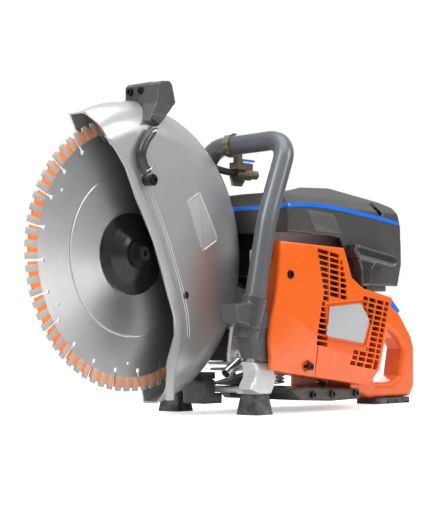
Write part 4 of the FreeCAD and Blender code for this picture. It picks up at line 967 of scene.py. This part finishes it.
def beside(line, step):
    """The line moved sideways by a step, to its rear side."""
    moved = []
    for index, (x, z) in enumerate(line):
        before, after = line[max(0, index - 1)], line[min(len(line) - 1, index + 1)]
        run = Vector((after[0] - before[0], after[1] - before[1])).normalized()
        moved.append((x + run.y * step, z - run.x * step))
    return moved


def guard_body():
    """The guard's shell, with its broad faces whole."""
    dress(settle(finer("guard_shell", flat=0.6), 25), "guard", "guard_alloy", "guard_shell")


def guard_lip():
    """A sloping strip along the open edge, with a crease behind it and two thin rails."""
    line = guard_edge[1:]
    edge, mid, crease, foot = beside(line, 0.3), beside(line, 5), beside(line, 15), beside(line, 16.5)
    swell = [min(1.0, 0.08 + 0.3 * index) for index in range(len(line))]
    rows = [[(x, guard_wall + 0.03, z) for x, z in edge]]
    for path, height in ((beside(line, 1.2), 0.5), (mid, 0.9), (crease, 1.7), (foot, 0.0)):
        rows.append([(x0 + (x - x0) * share, guard_wall + 0.03 + height * share, z0 + (z - z0) * share)
                     for (x0, z0), (x, z), share in zip(edge, path, swell)])
    strip = loft("guard_lip", rows)
    modify(strip, "SUBSURF", levels=2, render_levels=2)
    dress(settle(strip, 60), "guard", "guard_alloy")
    for number, step in ((1, 24.0), (2, 28.0)):
        path = [(x, z) for x, z in beside(line, step)][3:8]
        rows = [[(x, guard_wall + height, z) for x, z in beside(path, side)]
                for side, height in ((-0.9, 0.01), (-0.3, 0.9), (0.3, 0.9), (0.9, 0.01))]
        rail = loft("guard_rail_%d" % number, rows)
        modify(rail, "SUBSURF", levels=1, render_levels=1)
        dress(settle(rail, 60), "guard", "guard_alloy")


def guard_form():
    """The guard's outer form with a little room round it: rings about the arbor, drawn out along Y."""
    clear()
    bpy.ops.mesh.primitive_circle_add(vertices=256, radius=0.1959, fill_type="NGON", location=at(0, -60, 0),
                                      rotation=(math.pi / 2, 0, 0))
    form = bpy.context.active_object
    edit(form)
    reach, level = 195.9, -60.0
    for radius, y in ((195.9, 6.0), (190.5, 17.9), (180.5, 27.9), (170.5, 33.4), (158.0, 36.5), (40.0, 36.6)):
        share = radius / reach
        bpy.ops.mesh.extrude_region_move(TRANSFORM_OT_translate={"value": (0, (y - level) / 1000.0, 0)})
        bpy.ops.transform.resize(value=(share, 1.0, share), center_override=at(0, y, 0))
        reach, level = radius, y
    bpy.ops.mesh.select_all(action="SELECT")
    bpy.ops.mesh.normals_make_consistent(inside=False)
    clear()
    return form


def guard_handle():
    """A block on the rim that runs into a leg down the near side, with a stepped lower edge."""
    block = prism("guard_handle", [(-6, 190), (-6, 216), (-10, 220), (-27, 222), (-32, 217), (-34, 190)],
                  -18, 27)
    leg = prism("leg", [(-6, 215), (-10, 219), (-26, 221), (-31, 216), (-37, 194), (-14, 168), (-5, 160),
                        (12, 166), (-2, 191)], 10, 44)
    bevel_edges(block, on_plane_y(-18), 3.0, 4)
    cut(block, leg, "UNION")
    outer = slab(-70, 40, 0, 60, 0, 44)
    outer.location = at(-15, 75.0, 194.0)
    outer.rotation_euler = (math.radians(67.0), 0, 0)
    cut(block, outer)
    cut(block, guard_form())
    for y in (-7.0, 13.0):
        cut(block, barrel(4.7, (-12, y, 209.0), (0, y, 209.0), 24))
    cut(block, barrel(6.9, (3, 43, 158), (-1, 43, 167), 24))
    for z in (176, 180, 184, 188):
        cut(block, slab(-44, -16, 38, 60, z - 0.5, z + 0.5))
    modify(block, "REMESH", mode="VOXEL", voxel_size=0.0006)
    modify(block, "SMOOTH", factor=0.5, iterations=8)
    modify(block, "DECIMATE", ratio=0.3)
    active(block)
    bpy.ops.object.shade_smooth()
    dress(block, "guard", "grey_plastic", "guard_handle")


def guard_eyelet():
    """The small dark plug in the guard's near wall."""
    plug = barrel(5.0, (-65, 35.6, -52), (-65, 36.7, -52), 40)
    round_edges(plug, 0.4, 2)
    plug.name = "guard_eyelet"
    dress(settle(plug), "guard", "black_steel")


guard_body()
guard_lip()
guard_handle()
guard_eyelet()


# ---------------------------------------------------------------- hoses and rope
def supply_line():
    """The supply hose, which on the machine bends as the guard turns; here it is one fixed piece."""
    line = [(-211.7, -12, 122), (-190, -12, 122), (-158, -14, 129), (-124, -32, 152), (-80, -34, 184.5),
            (-56, -20, 205), (-33.5, -12, 209)]
    piece = hose("supply_line", line, 10.0)
    dress(piece, None, "hose_rubber", "supply_hose")
    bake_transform(piece)


def pull_rope():
    """The starter's rope, which on the machine draws out with the grip; here it is one fixed piece."""
    line = [(-341, 112, z) for z in (-45.9, -43, -40, -37, -35.1)]
    piece = hose("pull_rope", line, 3.4)
    dress(piece, None, "rope_fibre", "starter_rope")
    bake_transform(piece)


def hose_rings():
    """Two clamp rings on the near water hose."""
    for number, (spot, reach) in enumerate((((13.4, 43, 104.4), 7.0), ((4.4, 43, 153.6), 6.9))):
        clear()
        bpy.ops.mesh.primitive_torus_add(major_radius=reach / 1000.0, minor_radius=0.0012, major_segments=40,
                                         minor_segments=10, location=at(*spot), rotation=(0, 0.5, 0))
        ring = bpy.context.active_object
        ring.name = "hose_clamp_%d" % number
        dress(settle(ring, 60), "guard", "machined_steel")


supply_line()
pull_rope()
hose_rings()
